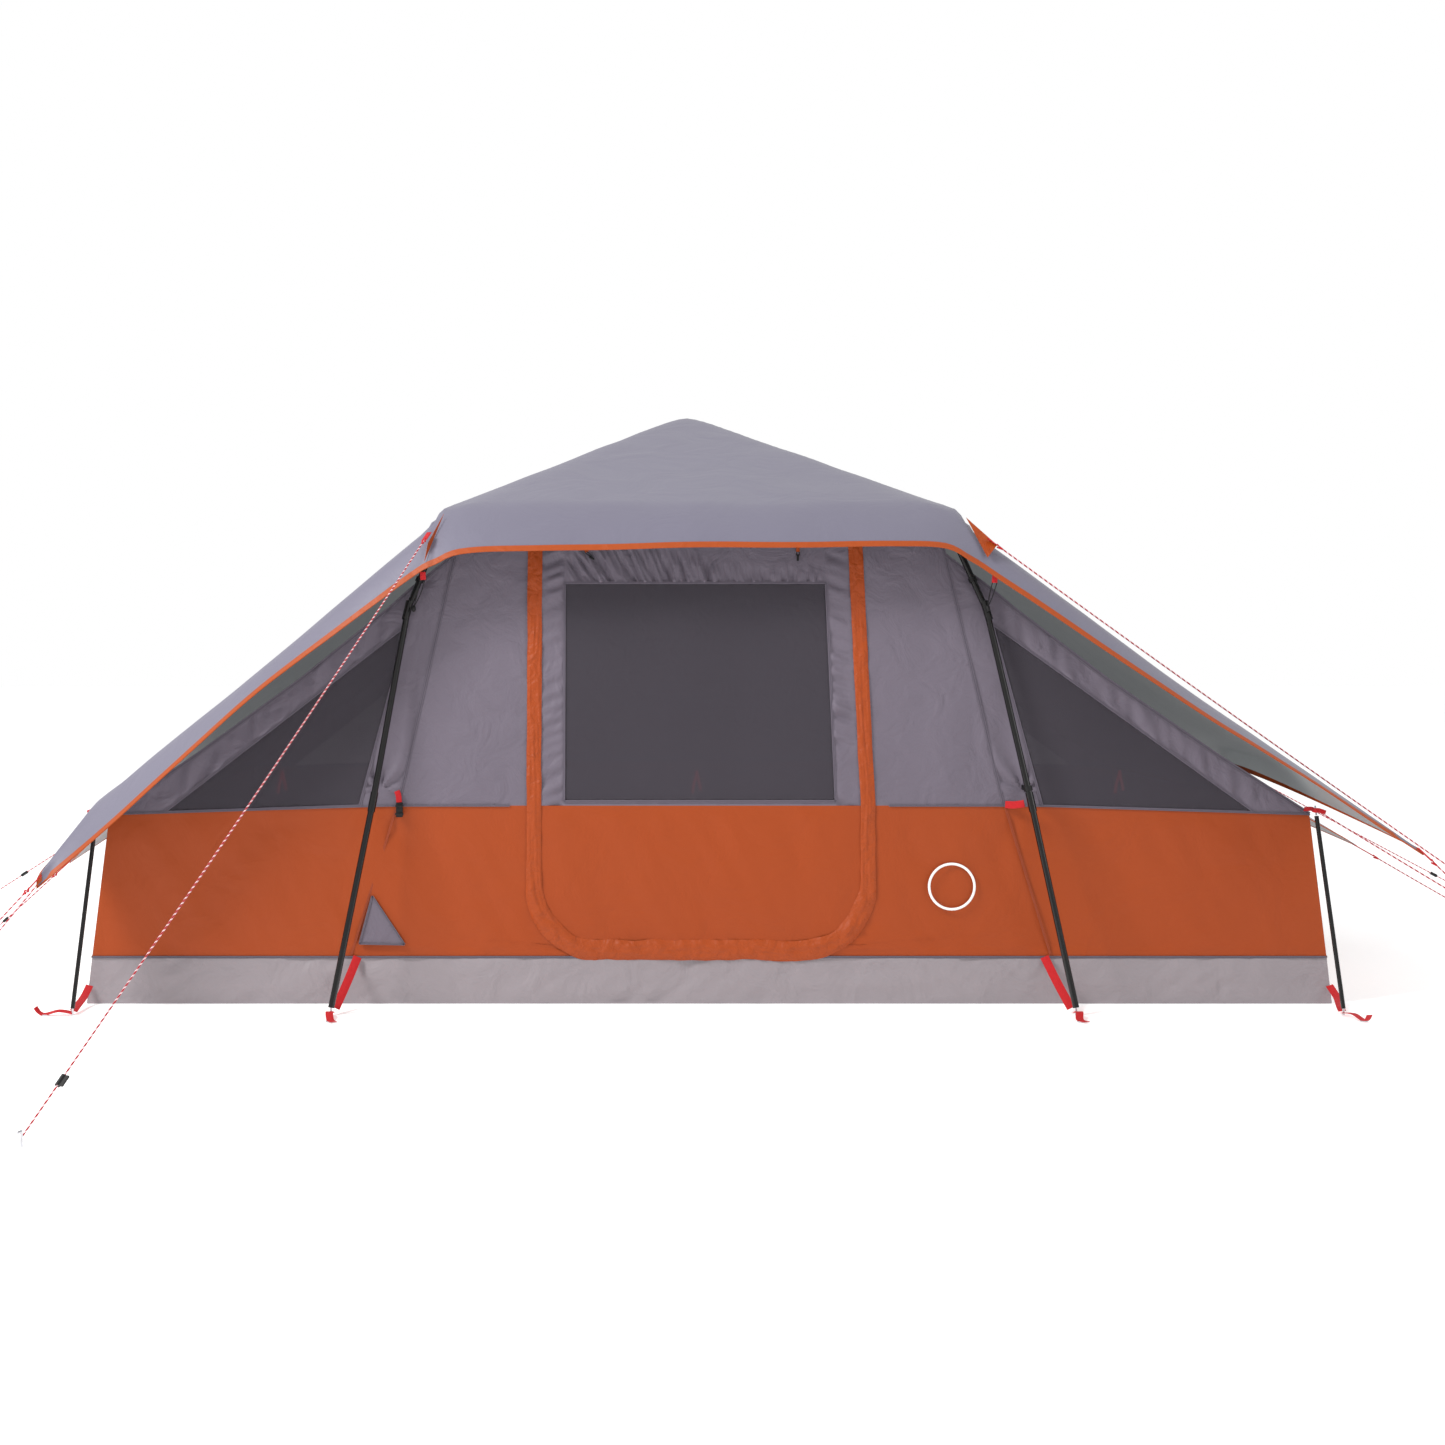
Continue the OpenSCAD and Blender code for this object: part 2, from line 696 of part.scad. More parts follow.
// The part of each peg that stands out of the ground, with its hooked head
module pegs() {
    color(steel) for (g = guys) {
        way = unit([g[1][0] - g[0][0], g[1][1] - g[0][1], 0]);
        translate([g[1][0], g[1][1], 0] + way * 4) {
            cylinder(d = 7, h = 42);
            translate([0, 0, 38]) rotate([0, 90, atan2(way[1], way[0])]) cylinder(d = 7, h = 16);
        }
    }
}

// The webbing or cloth tab that each guy line is tied to
module tie_tabs() {
    tab_w = 22;
    color(red) for (i = [0 : 13]) if (i < 4 || i > 7) {
        g = guys[i];
        way = unit(g[1] - g[0]);
        strap(g[0] - way * 34, g[0] - way * 1, tab_w);
    }
}

groundsheet();
tub_band();
lower_wall_front();
lower_wall_back();
lower_walls_side();
cabin_panels_front();
cabin_panel_back();
wing_walls_front();
wing_walls_back();
wing_mesh_front();
wing_mesh_back();
inner_roof_cabin();
inner_roof_wings();
door_lower_panel();
door_upper_frame();
door_mesh();
door_zip_flap();
fly_crown();
fly_wing_left();
fly_wing_right();
tie_tabs();
hub();
roof_poles();
leg_front_left();
leg_front_right();
leg_back_left();
leg_back_right();
corner_elbows();
pole_ferrules();
wing_posts();
foot_pins();
foot_rings();
foot_straps();
hook_clips();
loose_clip();
toggle_left();
toggle_right();
window_pull_door();
window_pull_left();
window_pull_right();
guy(0);  // guy_eave_front_left
guy(1);  // guy_eave_front_right
guy(2);  // guy_eave_back_left
guy(3);  // guy_eave_back_right
guy(4);  // guy_post_front_left
guy(5);  // guy_post_front_right
guy(6);  // guy_post_back_left
guy(7);  // guy_post_back_right
guy(8);  // guy_fly_front_left
guy(9);  // guy_fly_front_right
guy(10);  // guy_fly_back_left
guy(11);  // guy_fly_back_right
guy(12);  // guy_mid_left
guy(13);  // guy_mid_right
runner_front_left();
runner_front_right();
runner_back_left();
runner_back_right();
short_line_runners();
pegs();
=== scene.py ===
"""A family frame tent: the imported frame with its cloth, webbing, clips and guy lines."""
import json
import math

import bpy
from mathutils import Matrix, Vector, noise


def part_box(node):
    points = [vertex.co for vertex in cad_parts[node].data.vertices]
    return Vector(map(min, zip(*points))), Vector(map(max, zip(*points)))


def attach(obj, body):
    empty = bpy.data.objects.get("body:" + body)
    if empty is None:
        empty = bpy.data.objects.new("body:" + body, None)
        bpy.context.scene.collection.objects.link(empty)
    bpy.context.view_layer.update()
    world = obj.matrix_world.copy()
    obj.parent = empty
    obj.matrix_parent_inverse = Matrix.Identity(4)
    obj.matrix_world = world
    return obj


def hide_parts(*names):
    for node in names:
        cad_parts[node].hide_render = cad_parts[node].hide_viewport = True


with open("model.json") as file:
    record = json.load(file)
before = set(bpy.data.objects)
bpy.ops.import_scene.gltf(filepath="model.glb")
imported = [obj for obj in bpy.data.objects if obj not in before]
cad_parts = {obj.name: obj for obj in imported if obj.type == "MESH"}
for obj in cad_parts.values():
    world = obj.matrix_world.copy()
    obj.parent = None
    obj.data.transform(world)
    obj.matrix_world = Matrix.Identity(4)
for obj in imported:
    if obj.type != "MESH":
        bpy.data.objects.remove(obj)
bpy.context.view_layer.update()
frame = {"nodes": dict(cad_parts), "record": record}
bpy.ops.object.select_all(action="DESELECT")


def vec(x, y, z):
    return Vector((x, y, z))


# --- Sizes, in metres ---------------------------------------------------------------------

LEFT, RIGHT = -1, 1
FRONT, BACK = -1, 1
SIDE_NAME = {LEFT: "left", RIGHT: "right"}
END_NAME = {FRONT: "front", BACK: "back"}
BY_SIDE = [(side, end, f"{END_NAME[end]}_{SIDE_NAME[side]}") for side in SIDE_NAME for end in END_NAME]
BY_END = [(side, end, f"{END_NAME[end]}_{SIDE_NAME[side]}") for end in END_NAME for side in SIDE_NAME]
HALF_W, HALF_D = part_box("groundsheet")[1][:2]
CABIN_X = -0.03
TUB_H = 0.165
BAND_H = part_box("door_lower_panel")[1][2]
WALL_H = 1.69
SIDE_LEAN = 0.08
WALL_LEAN = 0.098
SEAM_LOW, SEAM_HIGH = 1.07, 0.855
WING_HEAD = 1.59
DOOR_HALF, DOOR_LOW, DOOR_TOP, DOOR_R = 0.59, 0.19, 1.637, 0.23
DOOR_NARROWS = 0.035
DOOR_PROUD = 0.001
MESH_LEFT, MESH_RIGHT_LOW, MESH_RIGHT_TOP = 0.484, 0.477, 0.450
MESH_LOW, MESH_TOP = 0.715, 1.49
CLOTH = 0.0015

# The fly, as values for the left and the right side
CROWN_HALF, CROWN_Y, FLY_BREAK = 0.925, 1.30, 1.772
FLY_TOP = 2.25
EAVE = {LEFT: vec(-1.005, 1.38, 1.672), RIGHT: vec(0.950, 1.38, 1.655)}
KNEE = {LEFT: vec(-1.622, 1.48, 1.142), RIGHT: vec(1.720, 1.48, 1.075)}
TIP = {LEFT: vec(-2.275, 1.74, 0.490), RIGHT: vec(2.380, 1.74, 0.575)}
REST = {LEFT: vec(-2.140, 1.51, 0.724), RIGHT: vec(2.050, 1.58, 0.828)}
REST_MIDDLE = {LEFT: 0.764, RIGHT: 0.868}
SCOOP = {LEFT: vec(-2.200, 0.88, 0.690), RIGHT: vec(2.000, 0.88, 0.808)}
MID = {LEFT: vec(-2.665, 0.0, 0.335), RIGHT: vec(2.845, 0.0, 0.405)}
HEM_MIDDLE = vec(CABIN_X, 1.48, 1.612)
HEM_CORNER = {LEFT: vec(-0.88, 1.48, 1.592), RIGHT: vec(0.83, 1.48, 1.616)}
HEM_EAVE = {LEFT: vec(-1.03, 1.47, 1.520), RIGHT: vec(0.985, 1.47, 1.515)}
HEM_KNEE = {LEFT: vec(-1.604, 1.60, 1.075), RIGHT: vec(1.700, 1.60, 1.020)}
HEM_REST = {LEFT: vec(-2.133, 1.68, 0.578), RIGHT: vec(2.050, 1.675, 0.796)}
TIP_DROP = {LEFT: 0.040, RIGHT: 0.012}

# The guy lines, as (node, start, peg, sag)
PEG_Z = 0.026
LINE_D = 0.005
LONG_SAG, POST_SAG, SHORT_SAG = 0.014, 0.004, 0.003
GUYS = [
    ("guy_eave_front_left", (-1.000, -1.450, 1.640), (-1.825, -3.410, PEG_Z), LONG_SAG),
    ("guy_eave_front_right", (1.010, -1.425, 1.620), (3.255, -1.500, PEG_Z), LONG_SAG),
    ("guy_eave_back_left", (-1.000, 1.450, 1.640), (-3.450, 1.480, PEG_Z), LONG_SAG),
    ("guy_eave_back_right", (1.010, 1.425, 1.620), (3.940, 1.450, PEG_Z), LONG_SAG),
    ("guy_post_front_left", (-2.142, -1.510, 0.682), (-2.660, -1.620, PEG_Z), POST_SAG),
    ("guy_post_front_right", (2.112, -1.510, 0.690), (3.200, -1.620, PEG_Z), POST_SAG),
    ("guy_post_back_left", (-2.142, 1.510, 0.682), (-2.660, 1.620, PEG_Z), POST_SAG),
    ("guy_post_back_right", (2.112, 1.510, 0.690), (3.080, 1.620, PEG_Z), POST_SAG),
    ("guy_fly_front_left", (-2.300, -1.752, 0.450), (-2.700, -1.760, PEG_Z), SHORT_SAG),
    ("guy_fly_front_right", (2.405, -1.752, 0.545), (2.960, -1.760, PEG_Z), SHORT_SAG),
    ("guy_fly_back_left", (-2.300, 1.752, 0.450), (-2.600, 1.780, PEG_Z), SHORT_SAG),
    ("guy_fly_back_right", (2.405, 1.752, 0.545), (2.760, 1.780, PEG_Z), SHORT_SAG),
    ("guy_mid_left", (-2.700, 0.000, 0.305), (-3.010, 0.000, PEG_Z), SHORT_SAG),
    ("guy_mid_right", (2.880, 0.000, 0.378), (3.500, 0.000, PEG_Z), SHORT_SAG),
]


def wall_out(z):
    """Distance of the front or back wall from the middle at a height."""
    return HALF_D - max(0.0, z - BAND_H) * WALL_LEAN


def side_out(z):
    """Distance of a side wall from the middle at a height."""
    return HALF_W - SIDE_LEAN * z / BAND_H


def seam_out(z):
    """Half width of the cabin's front at a height, measured from its own middle."""
    return SEAM_LOW - (SEAM_LOW - SEAM_HIGH) * (z - BAND_H) / (WALL_H - BAND_H)


def band_top(x):
    """Height of the lower wall's top edge, which droops towards the tent's corners."""
    return BAND_H - 0.030 * clamp((abs(x) - 1.15) / 0.95)


def roof_droop(t):
    """How far a wing's roof edge hangs below a straight line, t from its head to the tent's corner."""
    stops = [(0.0, 0.0), (0.13, 0.010), (0.19, 0.022), (0.45, 0.046), (0.75, 0.046), (1.0, 0.030)]
    for (low, a), (high, b) in zip(stops, stops[1:]):
        if t <= high:
            return mix(a, b, (t - low) / (high - low))
    return stops[-1][1]


def on_wall(x, z, end=FRONT, proud=0.0):
    """A point on the front or back wall."""
    return vec(x, end * (wall_out(z) + proud), z)


def mix(a, b, t):
    return a + (b - a) * t


def clamp(value, low=0.0, high=1.0):
    return max(low, min(high, value))


def smooth(t):
    t = clamp(t)
    return t * t * (3 - 2 * t)


# --- Camera -------------------------------------------------------------------------------


CAMERA_AT, LENS, CAMERA_SHIFT = (-0.33, -8.4, 1.25), 49.35, (0.0737, -0.0502)


def make_camera():
    """A level camera straight in front, a little left of the door."""
    bpy.ops.object.camera_add(location=CAMERA_AT, rotation=(math.radians(90), 0, 0))
    camera = bpy.context.object
    camera.name = "camera"
    camera.data.sensor_width = 36.0
    camera.data.lens = LENS
    camera.data.shift_x, camera.data.shift_y = CAMERA_SHIFT
    camera.data.clip_end = 200.0
    bpy.context.scene.camera = camera


# --- Materials ----------------------------------------------------------------------------


def feed(tree, spot, value):
    """Gives an input a number or colour, or links another node's output to it."""
    if isinstance(value, bpy.types.NodeSocket):
        tree.links.new(value, spot)
    else:
        spot.default_value = value


def node_in(tree, kind, at=(0, 0), **values):
    """A node with its properties set and its inputs fed, an underscore standing for a space."""
    node = tree.nodes.new(kind)
    node.location = at
    for key, value in values.items():
        spot = key.replace("_", " ")
        if spot in node.inputs:
            feed(tree, node.inputs[spot], value)
        else:
            setattr(node, key, value)
    return node


def math_in(tree, at, operation, *values):
    """The output of a maths node fed in the order of its inputs."""
    node = node_in(tree, "ShaderNodeMath", at, operation=operation)
    for spot, value in zip(node.inputs, values):
        feed(tree, spot, value)
    return node.outputs[0]


def new_group(name, inputs):
    """An empty group that gives colour, roughness and normal, with its inputs and the object's coordinates."""
    tree = bpy.data.node_groups.new(name, "ShaderNodeTree")
    for key, value in inputs.items():
        kind = "NodeSocketColor" if isinstance(value, tuple) else "NodeSocketFloat"
        tree.interface.new_socket(name=key, in_out="INPUT", socket_type=kind).default_value = value
    for key, kind in (
        ("Color", "NodeSocketColor"), ("Roughness", "NodeSocketFloat"), ("Normal", "NodeSocketVector"),
    ):
        tree.interface.new_socket(name=key, in_out="OUTPUT", socket_type=kind)
    give = node_in(tree, "NodeGroupInput", (-1200, 0)).outputs
    return tree, give, node_in(tree, "ShaderNodeTexCoord", (-1200, -300)).outputs["Object"]


def build_cloth_group():
    """Woven cloth: colour drift, soft creases and a fine weave."""
    tree, give, place = new_group("woven cloth", {
        "Color": (0.5, 0.5, 0.5, 1), "Drift": 0.06, "Crease Scale": 9.0, "Crease Depth": 0.35,
        "Weave Depth": 0.1, "Dull": 0.62,
    })
    drift = node_in(tree, "ShaderNodeTexNoise", (-900, 300), Vector=place, Scale=1.7, Detail=3.0)
    centred = math_in(tree, (-700, 300), "SUBTRACT", drift.outputs["Fac"], 0.5)
    scaled = math_in(tree, (-500, 300), "MULTIPLY_ADD", centred, give["Drift"], 1.0)
    tint = node_in(tree, "ShaderNodeVectorMath", (-250, 300), operation="SCALE", Scale=scaled)
    feed(tree, tint.inputs[0], give["Color"])
    crease = node_in(
        tree, "ShaderNodeTexNoise", (-900, 0), Vector=place, Scale=give["Crease Scale"],
        Detail=4.0, Distortion=0.8,
    ).outputs["Fac"]
    waves = [
        node_in(
            tree, "ShaderNodeTexWave", (-900, -250 - 200 * number), bands_direction=way,
            Vector=place, Scale=160.0, Distortion=0.6,
        ).outputs["Fac"]
        for number, way in enumerate(("X", "Y", "Z"))
    ]
    weave = math_in(tree, (-600, -450), "ADD", waves[0], waves[1])
    weave = math_in(tree, (-600, -650), "ADD", weave, waves[2])
    soft = node_in(
        tree, "ShaderNodeBump", (0, -100), Distance=0.02, Strength=give["Crease Depth"], Height=crease,
    )
    fine = node_in(
        tree, "ShaderNodeBump", (250, -200), Distance=0.0006, Strength=give["Weave Depth"],
        Height=weave, Normal=soft.outputs["Normal"],
    )
    node_in(
        tree, "NodeGroupOutput", (700, 0), Color=tint.outputs[0], Normal=fine.outputs["Normal"],
        Roughness=math_in(tree, (-250, 80), "MULTIPLY_ADD", crease, 0.16, give["Dull"]),
    )
    return tree


def build_worn_group():
    """Fine grain with worn, lighter patches, for coated metal and moulded plastic."""
    tree, give, place = new_group("worn finish", {
        "Color": (0.1, 0.1, 0.1, 1), "Worn Color": (0.3, 0.3, 0.3, 1), "Wear": 0.2,
        "Grain Scale": 300.0, "Grain Depth": 0.1, "Dull": 0.35,
    })
    patch = node_in(
        tree, "ShaderNodeTexNoise", (-750, 200), Vector=place, Scale=14.0, Detail=6.0, Roughness=0.7,
    ).outputs["Fac"]
    edge = node_in(tree, "ShaderNodeMapRange", (-500, 200), Value=patch, From_Min=0.62, From_Max=0.74)
    blend = node_in(
        tree, "ShaderNodeMix", (-50, 200), data_type="RGBA", A=give["Color"], B=give["Worn Color"],
        Factor=math_in(tree, (-300, 200), "MULTIPLY", edge.outputs[0], give["Wear"]),
    )
    grain = node_in(
        tree, "ShaderNodeTexNoise", (-750, -200), Vector=place, Scale=give["Grain Scale"], Detail=2.0,
    )
    bump = node_in(
        tree, "ShaderNodeBump", (200, -200), Distance=0.001, Strength=give["Grain Depth"],
        Height=grain.outputs["Fac"],
    )
    node_in(
        tree, "NodeGroupOutput", (600, 0), Color=blend.outputs["Result"], Normal=bump.outputs["Normal"],
        Roughness=math_in(tree, (-50, 0), "MULTIPLY_ADD", patch, 0.2, give["Dull"]),
    )
    return tree


CLOTH_GROUP = build_cloth_group()
WORN_GROUP = build_worn_group()


def linear(red, green, blue):
    """A display colour, 0 to 255 each, as the linear colour that a shader takes."""
    out = []
    for value in (red, green, blue):
        value /= 255
        out.append(value / 12.92 if value <= 0.04045 else ((value + 0.055) / 1.055) ** 2.4)
    return (*out, 1.0)


def blank_material(name):
    """The node tree of a new material with a plain shader."""
    material = bpy.data.materials.new(name)
    material.use_nodes = True
    return material.node_tree


def finish_from(name, group, shader_values, **group_values):
    """A material whose colour, roughness and normal come from a shared group."""
    tree = blank_material(name)
    part = node_in(tree, "ShaderNodeGroup", (-300, 0), node_tree=group, **group_values).outputs
    shader = tree.nodes["Principled BSDF"].inputs
    for key, value in shader_values.items():
        feed(tree, shader[key], value)
    for key, output in (("Base Color", "Color"), ("Roughness", "Roughness"), ("Normal", "Normal")):
        feed(tree, shader[key], part[output])
    return bpy.data.materials[name]


def cloth_finish(name, colour, sheen=0.15, **values):
    shader = {"Sheen Weight": sheen, "Sheen Roughness": 0.5, "Specular IOR Level": 0.35}
    return finish_from(name, CLOTH_GROUP, shader, Color=linear(*colour), **values)


def paint_glow(material, strength):
    """Painted glow: a little emission in the cloth's own colour, standing in for light that shines through thin cloth
    from behind.
    """
    tree = material.node_tree
    shader = tree.nodes["Principled BSDF"]
    part = next(n for n in tree.nodes if n.type == "GROUP")
    tree.links.new(part.outputs["Color"], shader.inputs["Emission Color"])
    shader.inputs["Emission Strength"].default_value = strength
    return material


def worn_finish(name, colour, worn, metallic=0.0, coat=0.0, gloss=0.5, **values):
    shader = {
        "Metallic": metallic, "Coat Weight": coat, "Coat Roughness": 0.12, "Specular IOR Level": gloss,
    }
    return finish_from(name, WORN_GROUP, shader, Color=linear(*colour), Worn_Color=linear(*worn), **values)


FLECK_PITCH, FLECK_SHARE = 0.022, 0.34
STITCH_PITCH, STITCH_SHARE = 0.004, 0.7


def build_cord_finish():
    """Braided cord, red with white flecks along its length."""
    tree = blank_material("flecked guy cord")
    uv = node_in(tree, "ShaderNodeUVMap", (-1100, 0)).outputs["UV"]
    parts = node_in(tree, "ShaderNodeSeparateXYZ", (-900, 0), Vector=uv).outputs
    turn = math_in(tree, (-700, 0), "MULTIPLY_ADD", parts["Y"], 1 / FLECK_PITCH, parts["X"])
    saw = math_in(tree, (-500, 0), "FRACT", turn)
    blend = node_in(
        tree, "ShaderNodeMix", (-100, 0), data_type="RGBA", A=linear(170, 18, 38), B=linear(236, 205, 208),
        Factor=math_in(tree, (-300, 0), "LESS_THAN", saw, FLECK_SHARE),
    )
    place = node_in(tree, "ShaderNodeTexCoord", (-700, -300)).outputs["Object"]
    braid = node_in(tree, "ShaderNodeTexWave", (-500, -300), Vector=place, Scale=220.0, Distortion=1.0)
    bump = node_in(
        tree, "ShaderNodeBump", (-100, -300), Strength=0.4, Distance=0.0008, Height=braid.outputs["Fac"],
    )
    shader = tree.nodes["Principled BSDF"].inputs
    for key, value in (
        ("Roughness", 0.8), ("Sheen Weight", 0.3), ("Base Color", blend.outputs["Result"]),
        ("Normal", bump.outputs["Normal"]),
    ):
        feed(tree, shader[key], value)
    return bpy.data.materials["flecked guy cord"]


def build_seam_finish(name, colour, thread):
    """A seam tape with two rows of stitches along its UV map."""
    material = cloth_finish(name, colour, Drift=0.08, Crease_Scale=20.0, Crease_Depth=0.2, Dull=0.6)
    tree = material.node_tree
    part = next(n for n in tree.nodes if n.type == "GROUP")
    uv = node_in(tree, "ShaderNodeUVMap", (-1300, -400)).outputs["UV"]
    axes = node_in(tree, "ShaderNodeSeparateXYZ", (-1100, -400), Vector=uv).outputs
    along = math_in(tree, (-900, -500), "MULTIPLY", axes["Y"], 1 / STITCH_PITCH)
    dash = math_in(tree, (-700, -500), "FRACT", along)
    dashed = math_in(tree, (-500, -500), "LESS_THAN", dash, STITCH_SHARE)
    rows = math_in(tree, (-900, -300), "PINGPONG", axes["X"], 0.5)
    near = math_in(tree, (-700, -300), "COMPARE", rows, 0.2, 0.06)
    blend = node_in(
        tree, "ShaderNodeMix", (-100, 200), data_type="RGBA", A=part.outputs["Color"], B=linear(*thread),
        Factor=math_in(tree, (-300, -400), "MULTIPLY", dashed, near),
    )
    feed(tree, tree.nodes["Principled BSDF"].inputs["Base Color"], blend.outputs["Result"])
    return material


def build_mesh_finish():
    """Fine insect mesh, which lets a little of the dark inside through."""
    material = cloth_finish(
        "insect mesh", (65, 60, 68), sheen=0.05, Drift=0.10, Crease_Scale=3.0,
        Crease_Depth=0.25, Weave_Depth=0.04, Dull=0.7,
    )
    material.node_tree.nodes["Principled BSDF"].inputs["Alpha"].default_value = 0.72
    return material


FLY_CLOTH = cloth_finish(
    "fly polyester", (111, 108, 124), Drift=0.08, Crease_Scale=5.0, Crease_Depth=0.30, Dull=0.42,
)
# The fly's coated underside carries a painted glow: emission of 0.55 in its own colour stands in for light shining
# through the fly.
FLY_UNDER_PAINTED_GLOW = paint_glow(cloth_finish(
    "fly coated underside painted glow", (122, 125, 126), Drift=0.05, Crease_Scale=5.0, Crease_Depth=0.2, Dull=0.5,
), 0.55)
WALL_CLOTH = cloth_finish(
    "wall polyester", (103, 95, 107), Drift=0.12, Crease_Scale=9.0, Crease_Depth=0.7, Dull=0.55,
)
ORANGE_CLOTH = cloth_finish(
    "orange wall polyester", (153, 60, 3), sheen=0.0, Drift=0.10, Crease_Scale=5.0, Crease_Depth=0.40, Dull=0.5,
)
FLAP_CLOTH = cloth_finish(
    "orange flap polyester", (156, 62, 4), sheen=0.0, Drift=0.16, Crease_Scale=24.0, Crease_Depth=0.55, Dull=0.45,
)
BINDING_CLOTH = cloth_finish(
    "orange binding tape", (162, 68, 12), sheen=0.0, Drift=0.10, Crease_Scale=12.0, Crease_Depth=0.3, Dull=0.45,
)
TUB_CLOTH = cloth_finish(
    "tub groundsheet", (141, 133, 137), Drift=0.07, Crease_Scale=8.0, Crease_Depth=0.75, Dull=0.45,
)
WEBBING = cloth_finish(
    "red webbing", (190, 18, 26), sheen=0.05, Drift=0.15, Crease_Scale=60.0, Crease_Depth=0.15,
    Weave_Depth=0.6, Dull=0.6,
)
# Painted glow: the window ribbons emit at 0.6 in their own red, standing in for light shining through the thin ribbon.
RIBBON_PAINTED_GLOW = paint_glow(cloth_finish(
    "red window ribbon painted glow", (190, 30, 26), sheen=0.0, Drift=0.15, Crease_Scale=60.0, Crease_Depth=0.15,
    Weave_Depth=0.6, Dull=0.6,
), 0.6)
INSECT_MESH = build_mesh_finish()
POLE_BLACK = worn_finish(
    "black coated tube", (9, 8, 8), (60, 58, 60), coat=0.35, gloss=0.30, Wear=0.25, Grain_Depth=0.05, Dull=0.14,
)
BLACK_PLASTIC = worn_finish(
    "black moulded plastic", (13, 12, 13), (50, 50, 52), gloss=0.35, Wear=0.25, Grain_Depth=0.2, Dull=0.42,
)
STEEL = worn_finish(
    "zinc plated steel", (196, 196, 200), (120, 116, 110), metallic=1.0, Wear=0.5, Grain_Depth=0.1, Dull=0.2,
)
GUY_CORD = build_cord_finish()
SEAM_CLOTH = build_seam_finish("stitched grey seam", (78, 71, 82), (122, 114, 126))
ORANGE_SEAM = build_seam_finish("stitched orange seam", (128, 48, 14), (176, 78, 30))
WHITE_PRINT = cloth_finish("white print", (236, 234, 232), sheen=0.0, Drift=0.03, Crease_Depth=0.2, Dull=0.5)


# --- Shaping tools ------------------------------------------------------------------------


def settle(obj, name, material, body="tent", inner=None):
    """Names a finished piece, gives it its material and slot, and rides it on its body."""
    obj.name = name
    obj.data.name = name
    obj.data.materials.clear()
    obj.data.materials.append(material)
    if inner is not None:
        obj.data.materials.append(inner)
    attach(obj, body)
    obj.select_set(False)
    return obj


def shade_smooth(obj, degrees=40):
    bpy.ops.object.select_all(action="DESELECT")
    obj.select_set(True)
    bpy.context.view_layer.objects.active = obj
    bpy.ops.object.shade_smooth_by_angle(angle=math.radians(degrees))


def apply_modifiers(obj):
    bpy.context.view_layer.objects.active = obj
    for modifier in list(obj.modifiers):
        bpy.ops.object.modifier_apply(modifier=modifier.name)


def cloth_grid(columns, rows, place, outward, thick=CLOTH):
    """A grid of cloth whose points place(u, v) gives, with its good side facing outward, and with thickness."""
    bpy.ops.object.select_all(action="DESELECT")
    bpy.ops.mesh.primitive_grid_add(x_subdivisions=columns, y_subdivisions=rows, size=1.0, calc_uvs=True)
    obj = bpy.context.object
    for vertex in obj.data.vertices:
        vertex.co = place(vertex.co.x + 0.5, vertex.co.y + 0.5)
    obj.data.update()
    facing = sum((p.normal * p.area for p in obj.data.polygons), Vector())
    bpy.ops.object.mode_set(mode="EDIT")
    bpy.ops.mesh.select_all(action="SELECT")
    bpy.ops.mesh.remove_doubles(threshold=0.00005)
    if facing.dot(Vector(outward)) < 0:
        bpy.ops.mesh.flip_normals()
    bpy.ops.object.mode_set(mode="OBJECT")
    solid = obj.modifiers.new("thickness", "SOLIDIFY")
    solid.thickness = thick
    solid.offset = -1.0
    apply_modifiers(obj)
    shade_smooth(obj, 60)
    return obj


def soft_noise(p, size, seed):
    """Smooth noise from -1 to 1 with features of about size, in metres."""
    return noise.noise(vec(p[0] / size + seed * 7.3, p[1] / size - seed * 3.1, p[2] / size + seed * 1.7))


def edge_fade(u, v, width=0.12):
    """0 at the edges of a panel, 1 inside it."""
    return smooth(min(u, 1 - u) / width) * smooth(min(v, 1 - v) / width)


def pull_folds(p, anchor, reach, folds, depth, turn=0.0):
    """Folds that fan out from a point where the cloth is held in the front wall's plane."""
    dx, dz = p[0] - anchor[0], p[2] - anchor[2]
    distance = math.hypot(dx, dz)
    angle = math.atan2(dz, dx)
    return depth * math.exp(-distance / reach) * min(1.0, distance / 0.04) * math.sin(folds * angle + turn)


def lie_along(name, points, cross, closed_path=False):
    """A closed skin lofted through one ring of points per station: cross(i, point) gives a ring."""
    rings = [cross(i, p) for i, p in enumerate(points)]
    sides = len(rings[0])
    vertices = [tuple(q) for ring in rings for q in ring]
    faces = []
    count = len(rings)
    for i in range(count if closed_path else count - 1):
        a, b = i * sides, ((i + 1) % count) * sides
        for j in range(sides):
            k = (j + 1) % sides
            faces.append((a + j, a + k, b + k, b + j))
    if not closed_path:
        faces.append(tuple(range(sides - 1, -1, -1)))
        faces.append(tuple(range((count - 1) * sides, count * sides)))
    mesh = bpy.data.meshes.new(name)
    mesh.from_pydata(vertices, [], faces)
    mesh.validate()
    obj = bpy.data.objects.new(name, mesh)
    bpy.context.scene.collection.objects.link(obj)
    bpy.ops.object.select_all(action="DESELECT")
    obj.select_set(True)
    bpy.context.view_layer.objects.active = obj
    bpy.ops.object.mode_set(mode="EDIT")
    bpy.ops.mesh.select_all(action="SELECT")
    bpy.ops.mesh.normals_make_consistent(inside=False)
    bpy.ops.object.mode_set(mode="OBJECT")
    return obj


def ways(points):
    """The unit direction of a path at each of its points."""
    last = len(points) - 1
    return [
        (points[min(i + 1, last)] - points[max(i - 1, 0)]).normalized() for i in range(last + 1)
    ]


